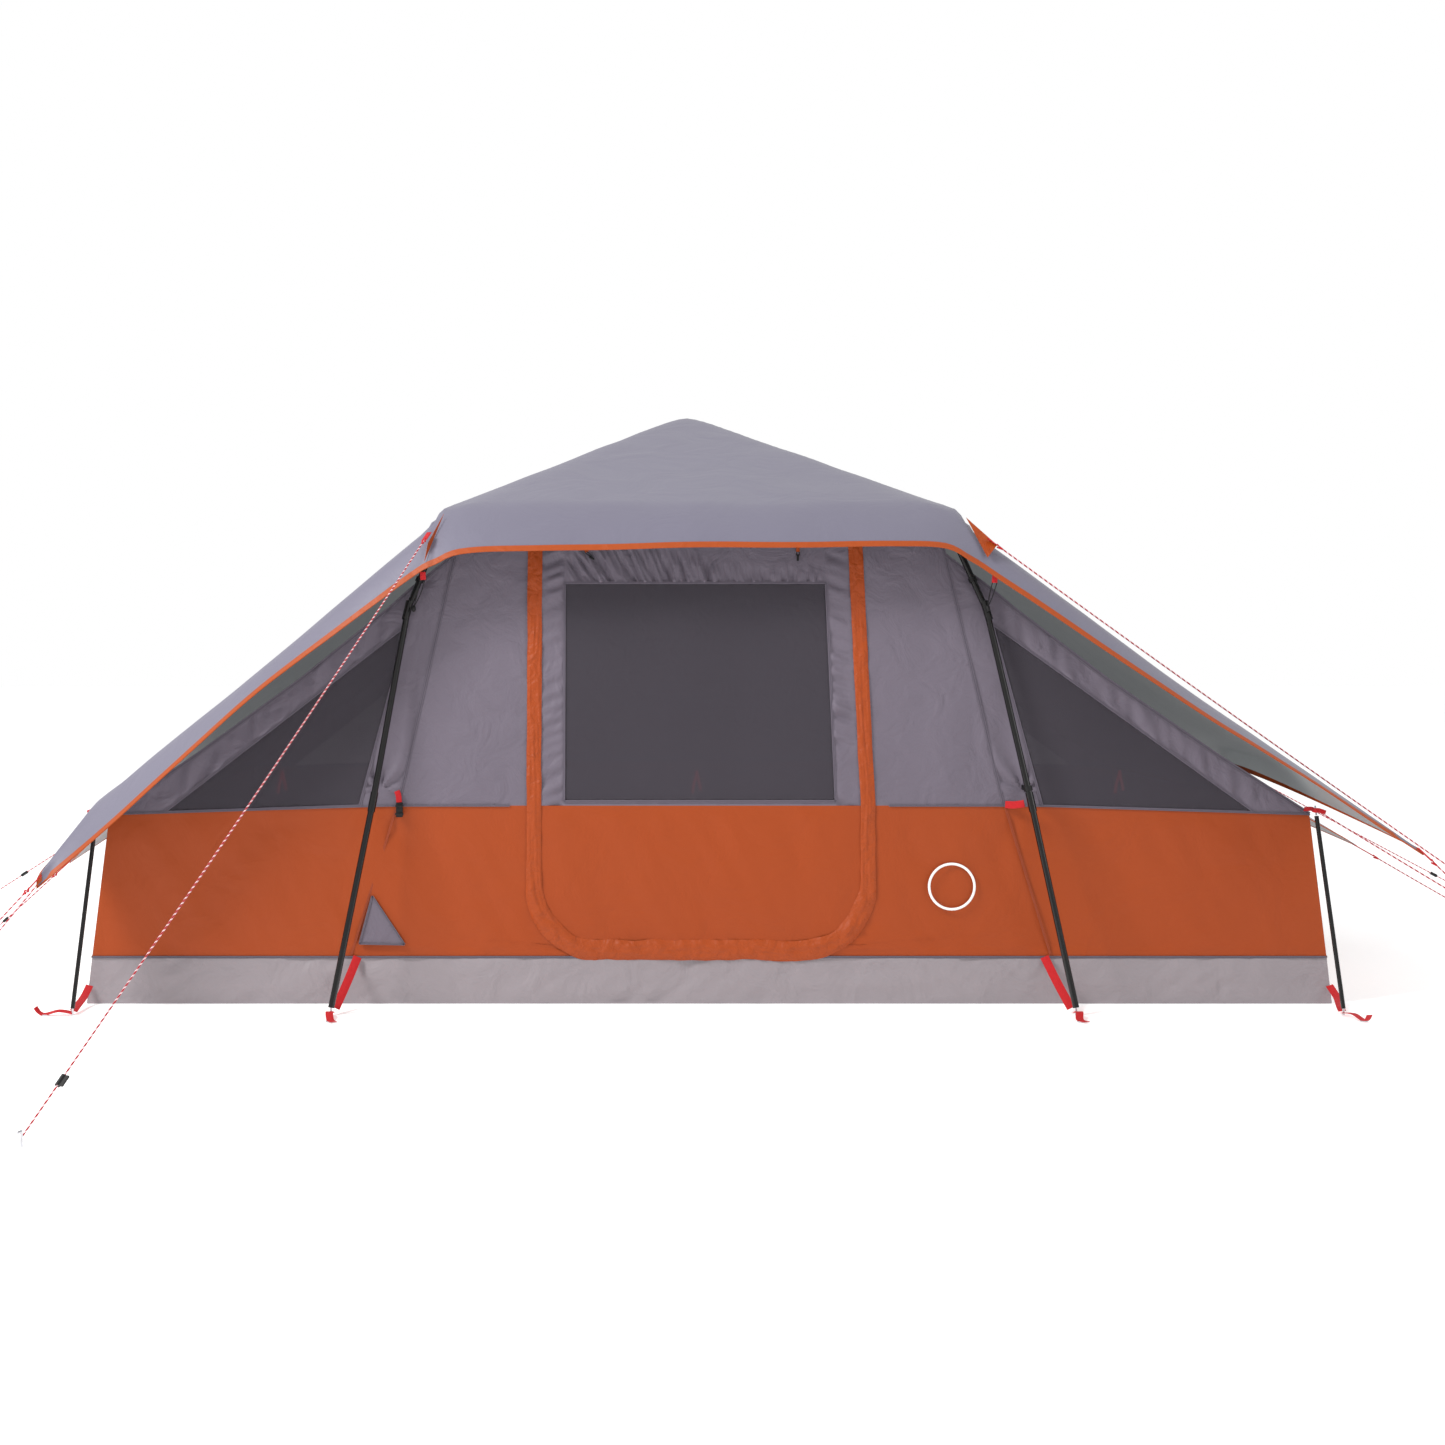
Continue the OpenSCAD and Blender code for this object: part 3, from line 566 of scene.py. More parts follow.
def strap_section(points, width, face, thick):
    """The cross function of a flat strap along points, whose broad side faces the direction face."""
    along = ways(points)

    def cross(i, p):
        side = along[i].cross(Vector(face)).normalized() * width / 2
        rise = side.cross(along[i]).normalized() * thick / 2
        return [p - side - rise, p + side - rise, p + side + rise, p - side + rise]

    return cross


def soften(obj, width, segments=2):
    """Rounds a piece's edges."""
    bevel = obj.modifiers.new("soft edge", "BEVEL")
    bevel.width = width
    bevel.segments = segments
    apply_modifiers(obj)


def ribbon(name, points, width, face, thick=0.0018, material=None, body="tent"):
    """A flat strap, of red webbing unless another material is given."""
    obj = lie_along(name, points, strap_section(points, width, face, thick))
    soften(obj, thick * 0.3)
    shade_smooth(obj, 50)
    return settle(obj, name, material or WEBBING, body)


def map_along(obj, points):
    """A UV map for a strip: X from 0 to 1 across it and Y in metres along it."""
    layer = obj.data.uv_layers.new(name="along")
    starts = [0.0]
    for a, b in zip(points, points[1:]):
        starts.append(starts[-1] + (b - a).length)
    per_vertex = {}
    sides = len(obj.data.vertices) // len(points)
    for vertex in obj.data.vertices:
        ring, spot = divmod(vertex.index, sides)
        across = (0.0, 1.0, 1.0, 0.0)[spot] if sides == 4 else spot / sides
        per_vertex[vertex.index] = (across, starts[ring])
    for loop in obj.data.loops:
        layer.data[loop.index].uv = per_vertex[loop.vertex_index]


def seam(name, points, width, face, material=None, slot="wall_cloth", body="tent", thick=0.0022):
    """A stitched seam tape that lies on the cloth along points."""
    points = [Vector(p) for p in points]
    obj = lie_along(name, points, strap_section(points, width, face, thick))
    map_along(obj, points)
    return settle(obj, name, material or SEAM_CLOTH, body)


def straight(a, b, steps=24):
    a, b = Vector(a), Vector(b)
    return [mix(a, b, i / steps) for i in range(steps + 1)]


def curve_through(points, steps):
    """A smooth path through given points."""
    points = [Vector(p) for p in points]
    out = []
    for i in range(len(points) - 1):
        before = points[max(i - 1, 0)]
        a, b = points[i], points[i + 1]
        after = points[min(i + 2, len(points) - 1)]
        for k in range(steps):
            t = k / steps
            out.append(0.5 * (
                2 * a + (b - before) * t + (2 * before - 5 * a + 4 * b - after) * t * t
                + (3 * a - before - 3 * b + after) * t * t * t
            ))
    out.append(points[-1])
    return out


# --- Guy lines ----------------------------------------------------------------------------

CORD_SIDES = 8
CORD_STEPS = 24


def guy_at(start, peg, sag, t):
    return mix(Vector(start), Vector(peg), t) - vec(0, 0, 4 * sag * t * (1 - t))


def make_guy(name, start, peg, sag):
    """One line as a tube with its length along the UV map's second axis."""
    path = [guy_at(start, peg, sag, i / CORD_STEPS) for i in range(CORD_STEPS + 1)]
    across = (path[-1] - path[0]).cross(vec(0, 0, 1)).normalized()
    rise = across.cross(path[-1] - path[0]).normalized()

    def cross(_, p):
        turns = [2 * math.pi * j / CORD_SIDES for j in range(CORD_SIDES)]
        return [p + LINE_D / 2 * (math.cos(a) * across + math.sin(a) * rise) for a in turns]

    obj = lie_along(name + "_line", path, cross)
    layer = obj.data.uv_layers.new(name="along")
    length = (path[-1] - path[0]).length
    for polygon in obj.data.polygons:
        angles = {}
        for corner in polygon.loop_indices:
            co = obj.data.vertices[obj.data.loops[corner].vertex_index].co
            t = (co - path[0]).dot(path[-1] - path[0]) / length
            foot = guy_at(start, peg, sag, t / length)
            angles[corner] = (math.atan2((co - foot).dot(rise), (co - foot).dot(across)) / (2 * math.pi), t)
        highest = max(a for a, _ in angles.values())
        for corner, (angle, t) in angles.items():
            layer.data[corner].uv = (angle + 1 if highest - angle > 0.5 else angle, t)
    shade_smooth(obj, 80)
    settle(obj, name + "_line", GUY_CORD)
    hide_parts(name)
    span = sum((b - a).length for a, b in zip(path, path[1:]))
    [tuple(p) for p in path]


# --- Fly ----------------------------------------------------------------------------------

# Where along the way from the crown's middle to the outer hem each line of the fly lies
AT_CORNER, AT_EAVE, AT_KNEE, AT_REST = 0.36, 0.42, 0.66, 0.85
VALANCE = 0.14
HIP_SHARPNESS = 16


def outer_hem(side, w):
    """The scalloped outer edge of a wing, w from its middle tie-out to its corner tie-out."""
    y = w * TIP[side].y
    scoop, mid, tip = SCOOP[side], MID[side], TIP[side]
    if y < scoop.y:
        part = (1 - y / scoop.y) ** 1.7
        end = mid
    else:
        part = ((y - scoop.y) / (tip.y - scoop.y)) ** 1.7
        end = tip
    return vec(mix(scoop.x, end.x, part), y, mix(scoop.z, end.z, part))


def crown_height(across, deep):
    """Height of the pyramid roof, from shares of its half width and half depth."""
    edge = (abs(across) ** HIP_SHARPNESS + abs(deep) ** HIP_SHARPNESS) ** (1 / HIP_SHARPNESS)
    return FLY_BREAK + (FLY_TOP - FLY_BREAK) * (1 - math.sqrt(edge * edge + 0.0012))


def roof_point(side, t, w):
    """A point of the fly's top before rounding; w is 0 on the middle line and 1 at the front edge."""
    if t <= AT_CORNER:
        share = t / AT_CORNER
        return vec(CABIN_X + side * share * CROWN_HALF, w * CROWN_Y, crown_height(share, w))
    corner = vec(CABIN_X + side * CROWN_HALF, w * CROWN_Y, crown_height(1, w))
    eave = vec(EAVE[side].x, w * EAVE[side].y, EAVE[side].z)
    if t <= AT_EAVE:
        return mix(corner, eave, (t - AT_CORNER) / (AT_EAVE - AT_CORNER))
    knee = vec(KNEE[side].x, w * KNEE[side].y, KNEE[side].z)
    if t <= AT_KNEE:
        return mix(eave, knee, (t - AT_EAVE) / (AT_KNEE - AT_EAVE))
    rest = vec(REST[side].x, w * REST[side].y, mix(REST_MIDDLE[side], REST[side].z, w ** 4))
    if t <= AT_REST:
        return mix(knee, rest, (t - AT_KNEE) / (AT_REST - AT_KNEE))
    return mix(rest, outer_hem(side, w), (t - AT_REST) / (1 - AT_REST))


def hem_point(side, t):
    """A point of the hanging front edge."""
    tip = TIP[side] + vec(0, 0.004, -TIP_DROP[side])
    stops = [
        (0.0, HEM_MIDDLE), (AT_CORNER - 0.03, HEM_CORNER[side]), (AT_EAVE + 0.01, HEM_EAVE[side]),
        (AT_KNEE, HEM_KNEE[side]), (AT_REST, HEM_REST[side]), (1.0, tip),
    ]
    for (low, a), (high, b) in zip(stops, stops[1:]):
        if t <= high:
            return mix(a, b, (t - low) / (high - low))
    return tip


def sharp_fly(side, t, r):
    """The fly before rounding: r up to 1 is its top, and past 1 the hanging edge."""
    t = clamp(t)
    if r <= 1.0:
        return roof_point(side, t, r)
    q = clamp((r - 1.0) / VALANCE)
    low = mix(roof_point(side, t, 1.0), hem_point(side, t), q)
    low.y += 0.018 * math.sin(math.pi * q) * (1 - t)
    return low


def fly_point(a, b):
    """The finished fly: a from the left hem to the right, b from the front hem to the back."""
    side = LEFT if a < 0 else RIGHT
    t, r = abs(a), abs(b) * (1 + VALANCE)
    end = FRONT if b < 0 else BACK
    hang = smooth((r - 1.0) / VALANCE)
    spread_t = mix(0.012, 0.030, hang) * min(1.0, (1 - t) / 0.05)
    spread_r = 0.016 * min(1.0, (1 + VALANCE - r) / 0.03)
    total = Vector()
    for dt in (-1, -0.5, 0, 0.5, 1):
        for dr in (-1, 0, 1):
            step_t = t + dt * spread_t
            use_side = side if step_t >= 0 else -side
            total += sharp_fly(use_side, abs(step_t), abs(r + dr * spread_r))
    p = total / 15
    p.y *= end
    return p + fly_folds(p, side, t, r, end)


def fly_folds(p, side, t, r, end):
    """Soft waves over the fly and folds that fan out from its held points."""
    inside = min(1.0, (1 - t) / 0.06)
    lift = 0.006 * soft_noise(p, 0.55, 1) + 0.0025 * soft_noise(p, 0.17, 2)
    dx, dy = p.x - CROWN_HALF * side - CABIN_X, abs(p.y) - 1.36
    near = math.hypot(dx, dy)
    turn = math.atan2(dy, dx)
    lift += 0.008 * math.exp(-near / 0.14) * min(1.0, near / 0.03) * math.sin(7 * turn)
    for held, reach in ((TIP[side], 0.30), (MID[side], 0.32)):
        dx, dy = p.x - held.x, abs(p.y) - held.y
        near = math.hypot(dx, dy)
        turn = math.atan2(dy, -dx * side)
        lift += 0.011 * math.exp(-near / reach) * min(1.0, near / 0.1) * math.sin(9 * turn)
    if r > 1.0:
        hang = (r - 1.0) / VALANCE
        return vec(0, -0.5 * end * lift * inside, lift * 0.5 * inside) + vec(
            0, end * 0.006 * hang * soft_noise((p.x, 0, 0), 0.22, 5), 0.004 * hang * soft_noise((p.x, 0, 3), 0.3, 6),
        ) * inside
    return vec(0, 0, lift * inside)


FLY_COLUMNS, FLY_ROWS = 150, 104


def make_fly():
    """One continuous sheet over the cabin and both wings."""
    def place(u, v):
        return fly_point(2 * u - 1, 2 * v - 1)

    obj = cloth_grid(FLY_COLUMNS, FLY_ROWS, place, (0, 0, 1), thick=0.0014)
    # The sheet's inner side takes the underside material with its painted glow.
    settle(obj, "fly_sheet", FLY_CLOTH, inner=FLY_UNDER_PAINTED_GLOW)
    faces = FLY_COLUMNS * FLY_ROWS
    for polygon in obj.data.polygons[faces:2 * faces]:
        polygon.material_index = 1
    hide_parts("fly_crown", "fly_wing_left", "fly_wing_right")


BINDING_W, BINDING_PROUD, BINDING_STEP = 0.021, 0.0020, 0.02


def make_fly_binding():
    """The orange tape folded over the fly's whole edge."""
    count_a, count_b = 150, 60
    edge = [(-1 + 2 * i / count_a, -1) for i in range(count_a)]
    edge += [(1, -1 + 2 * i / count_b) for i in range(count_b)]
    edge += [(1 - 2 * i / count_a, 1) for i in range(count_a)]
    edge += [(-1, 1 - 2 * i / count_b) for i in range(count_b)]
    rings = []
    for a, b in edge:
        rim = fly_point(a, b)
        inward_a = clamp(a, -1 + BINDING_STEP, 1 - BINDING_STEP)
        inward_b = clamp(b, -1 + BINDING_STEP, 1 - BINDING_STEP)
        inside = (fly_point(inward_a, inward_b) - rim).normalized()
        if abs(a) > 0.97 and abs(b) > 0.97:
            inside = (fly_point(a * 0.9, b * 0.9) - rim).normalized()
        rings.append((rim, inside))
    last = len(rings)

    def cross(i, _):
        rim, inside = rings[i]
        along = (rings[(i + 1) % last][0] - rings[i - 1][0]).normalized()
        up = inside.cross(along)
        up = up.normalized() * BINDING_PROUD if up.length > 1e-6 else vec(0, 0, BINDING_PROUD)
        inner = rim + inside * BINDING_W
        outer = rim - inside * 0.003
        return [inner + up, outer + up, outer - inside * 0.0015, outer - up, inner - up]

    obj = lie_along("fly_binding", [r for r, _ in rings], cross, closed_path=True)
    shade_smooth(obj, 50)
    settle(obj, "fly_binding", BINDING_CLOTH)


# --- Inner tent ---------------------------------------------------------------------------


def wall_waves(p, seed):
    """Slack of a wall panel: broad hollows and smaller ripples, in metres along its outward side."""
    return 0.007 * soft_noise(p, 0.45, seed) + 0.0035 * soft_noise(p, 0.14, seed + 1)


def flat_panel(
    name, corners, columns, rows, outward, material, nodes=(), body="tent", shape=None, droop=None,
):
    """A four-cornered cloth panel: corners run round from the lower left, and shape(p, u, v) adds its slack."""
    a, b, c, d = (Vector(p) for p in corners)
    outward = Vector(outward).normalized()

    def place(u, v):
        p = mix(mix(a, b, u), mix(d, c, u), v)
        slack = shape(p, u, v) if shape else wall_waves(p, 11) * edge_fade(u, v)
        fall = droop(p, u, v) if droop else 0.0
        return p + outward * slack - vec(0, 0, fall)

    obj = cloth_grid(columns, rows, place, outward)
    settle(obj, name, material, body)
    if nodes:
        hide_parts(*nodes)
    return obj


# The groundsheet and the tub
FLOOR_Z = 0.0018
TUB_FOOT_Z = 0.001


def make_floor():
    """The groundsheet, a shade inside its own edge so that the tub wall covers it."""
    def place(u, v):
        p = vec(mix(-HALF_W, HALF_W, u), mix(-HALF_D, HALF_D, v), FLOOR_Z)
        return p + vec(0, 0, 0.0009 * soft_noise(p, 0.25, 3))

    obj = cloth_grid(90, 60, place, (0, 0, 1), thick=0.0008)
    settle(obj, "groundsheet_cloth", TUB_CLOTH)
    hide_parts("groundsheet")


def make_tub():
    """The grey tub walls, which bulge and crease near the ground."""
    pieces = []

    def crease(p, u, v):
        bow = 0.012 * math.sin(math.pi * v) * (0.6 + 0.9 * soft_noise(p, 0.6, 21))
        along = p.x if abs(outward_of[0]) < 0.5 else p.y
        slant = along + 1.3 * p.z * (1 if soft_noise((along, 0, 0), 0.9, 27) > 0 else -1)
        fold = abs(soft_noise((slant * 1.6, 0, p.z * 0.8), 0.13, 22))
        ripple = 0.007 * soft_noise((along * 0.4, 0, p.z * 2.2), 0.11, 23)
        return (bow + ripple + 0.013 * (0.25 - fold)) * edge_fade(u, v, 0.06)

    for end in (FRONT, BACK):
        outward_of = (0, end)
        low, high = HALF_W, side_out(TUB_H)
        corners = [
            (-low, end * HALF_D, TUB_FOOT_Z), (low, end * HALF_D, TUB_FOOT_Z),
            (high, end * HALF_D, TUB_H), (-high, end * HALF_D, TUB_H),
        ]
        pieces.append(flat_panel(
            f"tub_wall_{END_NAME[end]}", corners, 220, 16, (0, end, 0), TUB_CLOTH, shape=crease,
        ))
    for side in (LEFT, RIGHT):
        outward_of = (side, 0)
        low, high = side * HALF_W, side * side_out(TUB_H)
        corners = [(low, -HALF_D, TUB_FOOT_Z), (low, HALF_D, TUB_FOOT_Z), (high, HALF_D, TUB_H), (high, -HALF_D, TUB_H)]
        pieces.append(flat_panel(
            f"tub_wall_{SIDE_NAME[side]}", corners, 140, 16, (side, 0, 0), TUB_CLOTH, shape=crease,
        ))
    for piece in pieces:
        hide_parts("tub_band")


def door_edge_path(side, steps=40):
    """The doorway's edge on one side of its middle, from the sill's middle to the top of the band."""
    flat = DOOR_HALF - DOOR_R
    length = [DOOR_LOW - TUB_H, flat, math.pi / 2 * DOOR_R, BAND_H - DOOR_LOW - DOOR_R]
    total = sum(length)
    points = []
    for i in range(steps + 1):
        s = total * i / steps
        if s <= length[0]:
            x, z = 0.0, TUB_H + s
        elif s <= length[0] + length[1]:
            x, z = s - length[0], DOOR_LOW
        elif s <= sum(length[:3]):
            angle = (s - length[0] - length[1]) / DOOR_R
            x, z = flat + DOOR_R * math.sin(angle), DOOR_LOW + DOOR_R * (1 - math.cos(angle))
        else:
            x, z = DOOR_HALF, DOOR_LOW + DOOR_R + s - sum(length[:3])
        points.append((CABIN_X + side * x, z))
    return points


def band_slack(p, u, v):
    """Slack of the orange walls: upright soft waves."""
    slant = p.x + 0.5 * p.z
    upright = 0.009 * soft_noise((slant * 1.6, p.y * 1.6, p.z * 0.5), 0.34, 31)
    small = 0.0035 * soft_noise((slant * 1.4, p.y, p.z * 0.6), 0.09, 32)
    return (upright + small) * edge_fade(u, v, 0.1)


def make_lower_front():
    """The orange front wall on each side of the doorway, cut round its lower corners."""
    steps = 40
    for side in (LEFT, RIGHT):
        edge = door_edge_path(side, steps)

        def place(u, v):
            x, z = edge[min(steps, round(v * steps))]
            outer_z = mix(TUB_H, BAND_H, v)
            inner = vec(x, -HALF_D, z)
            outer = vec(side * side_out(outer_z), -HALF_D, outer_z)
            p = mix(inner, outer, u)
            p.z -= (BAND_H - band_top(p.x)) * v
            hold = (CABIN_X + side * 1.14, 0, BAND_H + 0.02)
            slack = band_slack(p, u, v)
            slack += pull_folds(p, hold, 0.16, 7, 0.006) * edge_fade(u, v)
            return p + vec(0, -slack, 0)

        obj = cloth_grid(110, steps, place, (0, -1, 0))
        settle(obj, f"lower_wall_front_{SIDE_NAME[side]}", ORANGE_CLOTH)
        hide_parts("lower_wall_front")


def make_lower_others():
    """The orange back wall and side walls."""
    high, low = side_out(BAND_H), side_out(TUB_H)
    flat_panel(
        "lower_wall_back_cloth",
        [(low, HALF_D, TUB_H), (-low, HALF_D, TUB_H), (-high, HALF_D, BAND_H), (high, HALF_D, BAND_H)],
        160, 30, (0, 1, 0), ORANGE_CLOTH, ["lower_wall_back"], shape=band_slack,
        droop=lambda p, u, v: (BAND_H - band_top(p.x)) * v,
    )
    for side in (LEFT, RIGHT):
        flat_panel(
            f"lower_wall_{SIDE_NAME[side]}",
            [(side * low, -HALF_D, TUB_H), (side * low, HALF_D, TUB_H),
             (side * high, HALF_D, BAND_H), (side * high, -HALF_D, BAND_H)],
            120, 30, (side, 0, 0), ORANGE_CLOTH, ["lower_walls_side"], shape=band_slack,
            droop=lambda p, u, v: (BAND_H - band_top(HALF_W)) * v,
        )


def make_cabin_walls():
    """The grey walls beside and over the door, and the back wall."""
    def slack(p, u, v):
        drape = 0.008 * soft_noise((p.x * 1.8, p.y, p.z * 0.45), 0.30, 41)
        small = 0.003 * soft_noise((p.x, p.y, p.z * 1.6), 0.12, 42)
        return (drape + small) * edge_fade(u, v, 0.1)

    right_top = DOOR_HALF - DOOR_NARROWS
    left = [
        on_wall(CABIN_X - SEAM_LOW, BAND_H), on_wall(CABIN_X - DOOR_HALF, BAND_H),
        on_wall(CABIN_X - DOOR_HALF, DOOR_TOP), on_wall(CABIN_X - seam_out(DOOR_TOP), DOOR_TOP),
    ]
    right = [
        on_wall(CABIN_X + DOOR_HALF, BAND_H), on_wall(CABIN_X + SEAM_LOW, BAND_H),
        on_wall(CABIN_X + seam_out(DOOR_TOP), DOOR_TOP), on_wall(CABIN_X + right_top, DOOR_TOP),
    ]
    head = [
        on_wall(CABIN_X - seam_out(DOOR_TOP), DOOR_TOP), on_wall(CABIN_X + seam_out(DOOR_TOP), DOOR_TOP),
        on_wall(CABIN_X + SEAM_HIGH, WALL_H), on_wall(CABIN_X - SEAM_HIGH, WALL_H),
    ]
    outward = (0, -1, WALL_LEAN)
    for name, corners, columns, rows in (
        ("cabin_panel_left", left, 40, 70), ("cabin_panel_right", right, 40, 70), ("cabin_panel_head", head, 90, 8),
    ):
        flat_panel(
            name, corners, columns, rows, outward, WALL_CLOTH, ["cabin_panels_front"], shape=slack,
        )
    back = [
        on_wall(CABIN_X + SEAM_LOW, BAND_H, BACK), on_wall(CABIN_X - SEAM_LOW, BAND_H, BACK),
        on_wall(CABIN_X - SEAM_HIGH, WALL_H, BACK), on_wall(CABIN_X + SEAM_HIGH, WALL_H, BACK),
    ]
    flat_panel(
        "cabin_panel_rear", back, 90, 60, (0, 1, WALL_LEAN), WALL_CLOTH, ["cabin_panel_back"],
        shape=slack,
    )


MESH_INNER_X, MESH_PEAK, MESH_OUTER_X = 1.205, (1.040, 1.345), 1.925
MESH_GAP = 0.003


def wing_points(side):
    """The named corners of a wing's end wall, as (x, z)."""
    return {
        "seam_low": (CABIN_X + side * SEAM_LOW, BAND_H),
        "seam_head": (CABIN_X + side * seam_out(WING_HEAD), WING_HEAD),
        "corner": (side * side_out(BAND_H), BAND_H),
        "mesh_inner": (CABIN_X + side * MESH_INNER_X, band_top(MESH_INNER_X) + MESH_GAP),
        "mesh_peak": (CABIN_X + side * MESH_PEAK[0], MESH_PEAK[1]),
        "mesh_outer": (side * MESH_OUTER_X, band_top(MESH_OUTER_X) + MESH_GAP),
    }


def make_wings():
    """Each wing's end walls: cloth strip, roof band and the mesh."""
    for end in (FRONT, BACK):
        for side in (LEFT, RIGHT):
            at = {key: on_wall(x, z, end) for key, (x, z) in wing_points(side).items()}
            hook = (CABIN_X + side * 1.14, 0, BAND_H + 0.05)
            outward = (0, end, WALL_LEAN)
            label = f"{END_NAME[end]}_{SIDE_NAME[side]}"
            walls, meshes = f"wing_walls_{END_NAME[end]}", f"wing_mesh_{END_NAME[end]}"

            def strip_slack(p, u, v):
                folds = pull_folds(p, hook, 0.22, 9, 0.012)
                upright = 0.007 * soft_noise((p.x * 3, p.y, p.z * 0.8), 0.20, 51)
                return (folds + upright) * edge_fade(u, v, 0.12)

            def band_folds(p, u, v):
                across = 0.011 * soft_noise((p.x * 2.6, p.y, p.z * 0.6), 0.10, 52)
                return across * edge_fade(u, v, 0.10)

            flat_panel(
                f"wing_strip_{label}", [at["seam_low"], at["mesh_inner"], at["mesh_peak"], at["seam_head"]],
                16, 60, outward, WALL_CLOTH, [walls], shape=strip_slack,
            )
            flat_panel(
                f"wing_band_{label}", [at["mesh_outer"], at["corner"], at["seam_head"], at["mesh_peak"]],
                14, 110, outward, WALL_CLOTH, [walls], shape=band_folds,
                droop=lambda p, u, v: roof_droop(1 - v) * u,
            )

            def place(u, v):
                p = mix(mix(at["mesh_inner"], at["mesh_outer"], u), at["mesh_peak"], v)
                p.y -= end * 0.001
                return p + vec(0, end * 0.004 * soft_noise(p, 0.4, 53) * edge_fade(u, v), 0)

            mesh = cloth_grid(50, 40, place, outward, thick=0.0006)
            settle(mesh, f"wing_window_{label}", INSECT_MESH)
            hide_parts(meshes)


INNER_PEAK_Z = 2.12


def make_inner_roofs():
    """The inner roof: a low pyramid over the cabin, short upright bands, and the wing slopes."""
    y = wall_out(WALL_H)
    peak = vec(CABIN_X, 0, INNER_PEAK_Z)
    corners = [
        vec(CABIN_X - SEAM_HIGH, -y, WALL_H), vec(CABIN_X + SEAM_HIGH, -y, WALL_H),
        vec(CABIN_X + SEAM_HIGH, y, WALL_H), vec(CABIN_X - SEAM_HIGH, y, WALL_H),
    ]
    for number, name in enumerate(("front", "right", "back", "left")):
        a, b = corners[number], corners[(number + 1) % 4]

        def place(u, v):
            p = mix(mix(a, b, u), peak, v)
            sag = 0.02 * math.sin(math.pi * v) * math.sin(math.pi * u)
            return p - vec(0, 0, sag)

        obj = cloth_grid(40, 30, place, (0, 0, 1))
        settle(obj, f"inner_roof_{name}", WALL_CLOTH)
        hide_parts("inner_roof_cabin")
    for side in (LEFT, RIGHT):
        head_x = CABIN_X + side * seam_out(WING_HEAD)
        top_x = CABIN_X + side * SEAM_HIGH
        edge_y = wall_out(WING_HEAD)
        flat_panel(
            f"cabin_side_band_{SIDE_NAME[side]}",
            [(head_x, -edge_y, WING_HEAD), (head_x, edge_y, WING_HEAD), (top_x, y, WALL_H), (top_x, -y, WALL_H)],
            80, 8, (side, 0, 0.2), WALL_CLOTH, ["inner_roof_cabin"],
        )
        low_x = side * side_out(BAND_H)
        flat_panel(
            f"wing_roof_{SIDE_NAME[side]}",
            [(low_x, -HALF_D, BAND_H), (low_x, HALF_D, BAND_H),
             (head_x, edge_y, WING_HEAD), (head_x, -edge_y, WING_HEAD)],
            80, 50, (side * 0.7, 0, 1), WALL_CLOTH, ["inner_roof_wings"],
            shape=lambda p, u, v: -0.02 * math.sin(math.pi * u) * math.sin(math.pi * v),
            droop=lambda p, u, v: roof_droop(1 - v),
        )


# --- Door ---------------------------------------------------------------------------------


def mesh_right(z):
    """Half width of the window's right edge, from the cabin's middle, at a height."""
    return MESH_RIGHT_LOW + (MESH_RIGHT_TOP - MESH_RIGHT_LOW) * (z - MESH_LOW) / (MESH_TOP - MESH_LOW)


def door_right(z):
    """Half width of the door's right edge, which leans in above the lower wall."""
    return DOOR_HALF - DOOR_NARROWS * max(0.0, z - BAND_H) / (DOOR_TOP - BAND_H)


def door_panel(name, corners, columns, rows, shape, material, node):
    """A panel of the door, from corners given as (x from the cabin's middle, z)."""
    points = [on_wall(CABIN_X + x, z, FRONT, DOOR_PROUD) for x, z in corners]
    return flat_panel(
        name, points, columns, rows, (0, -1, WALL_LEAN), material, [node], "door", shape,
    )


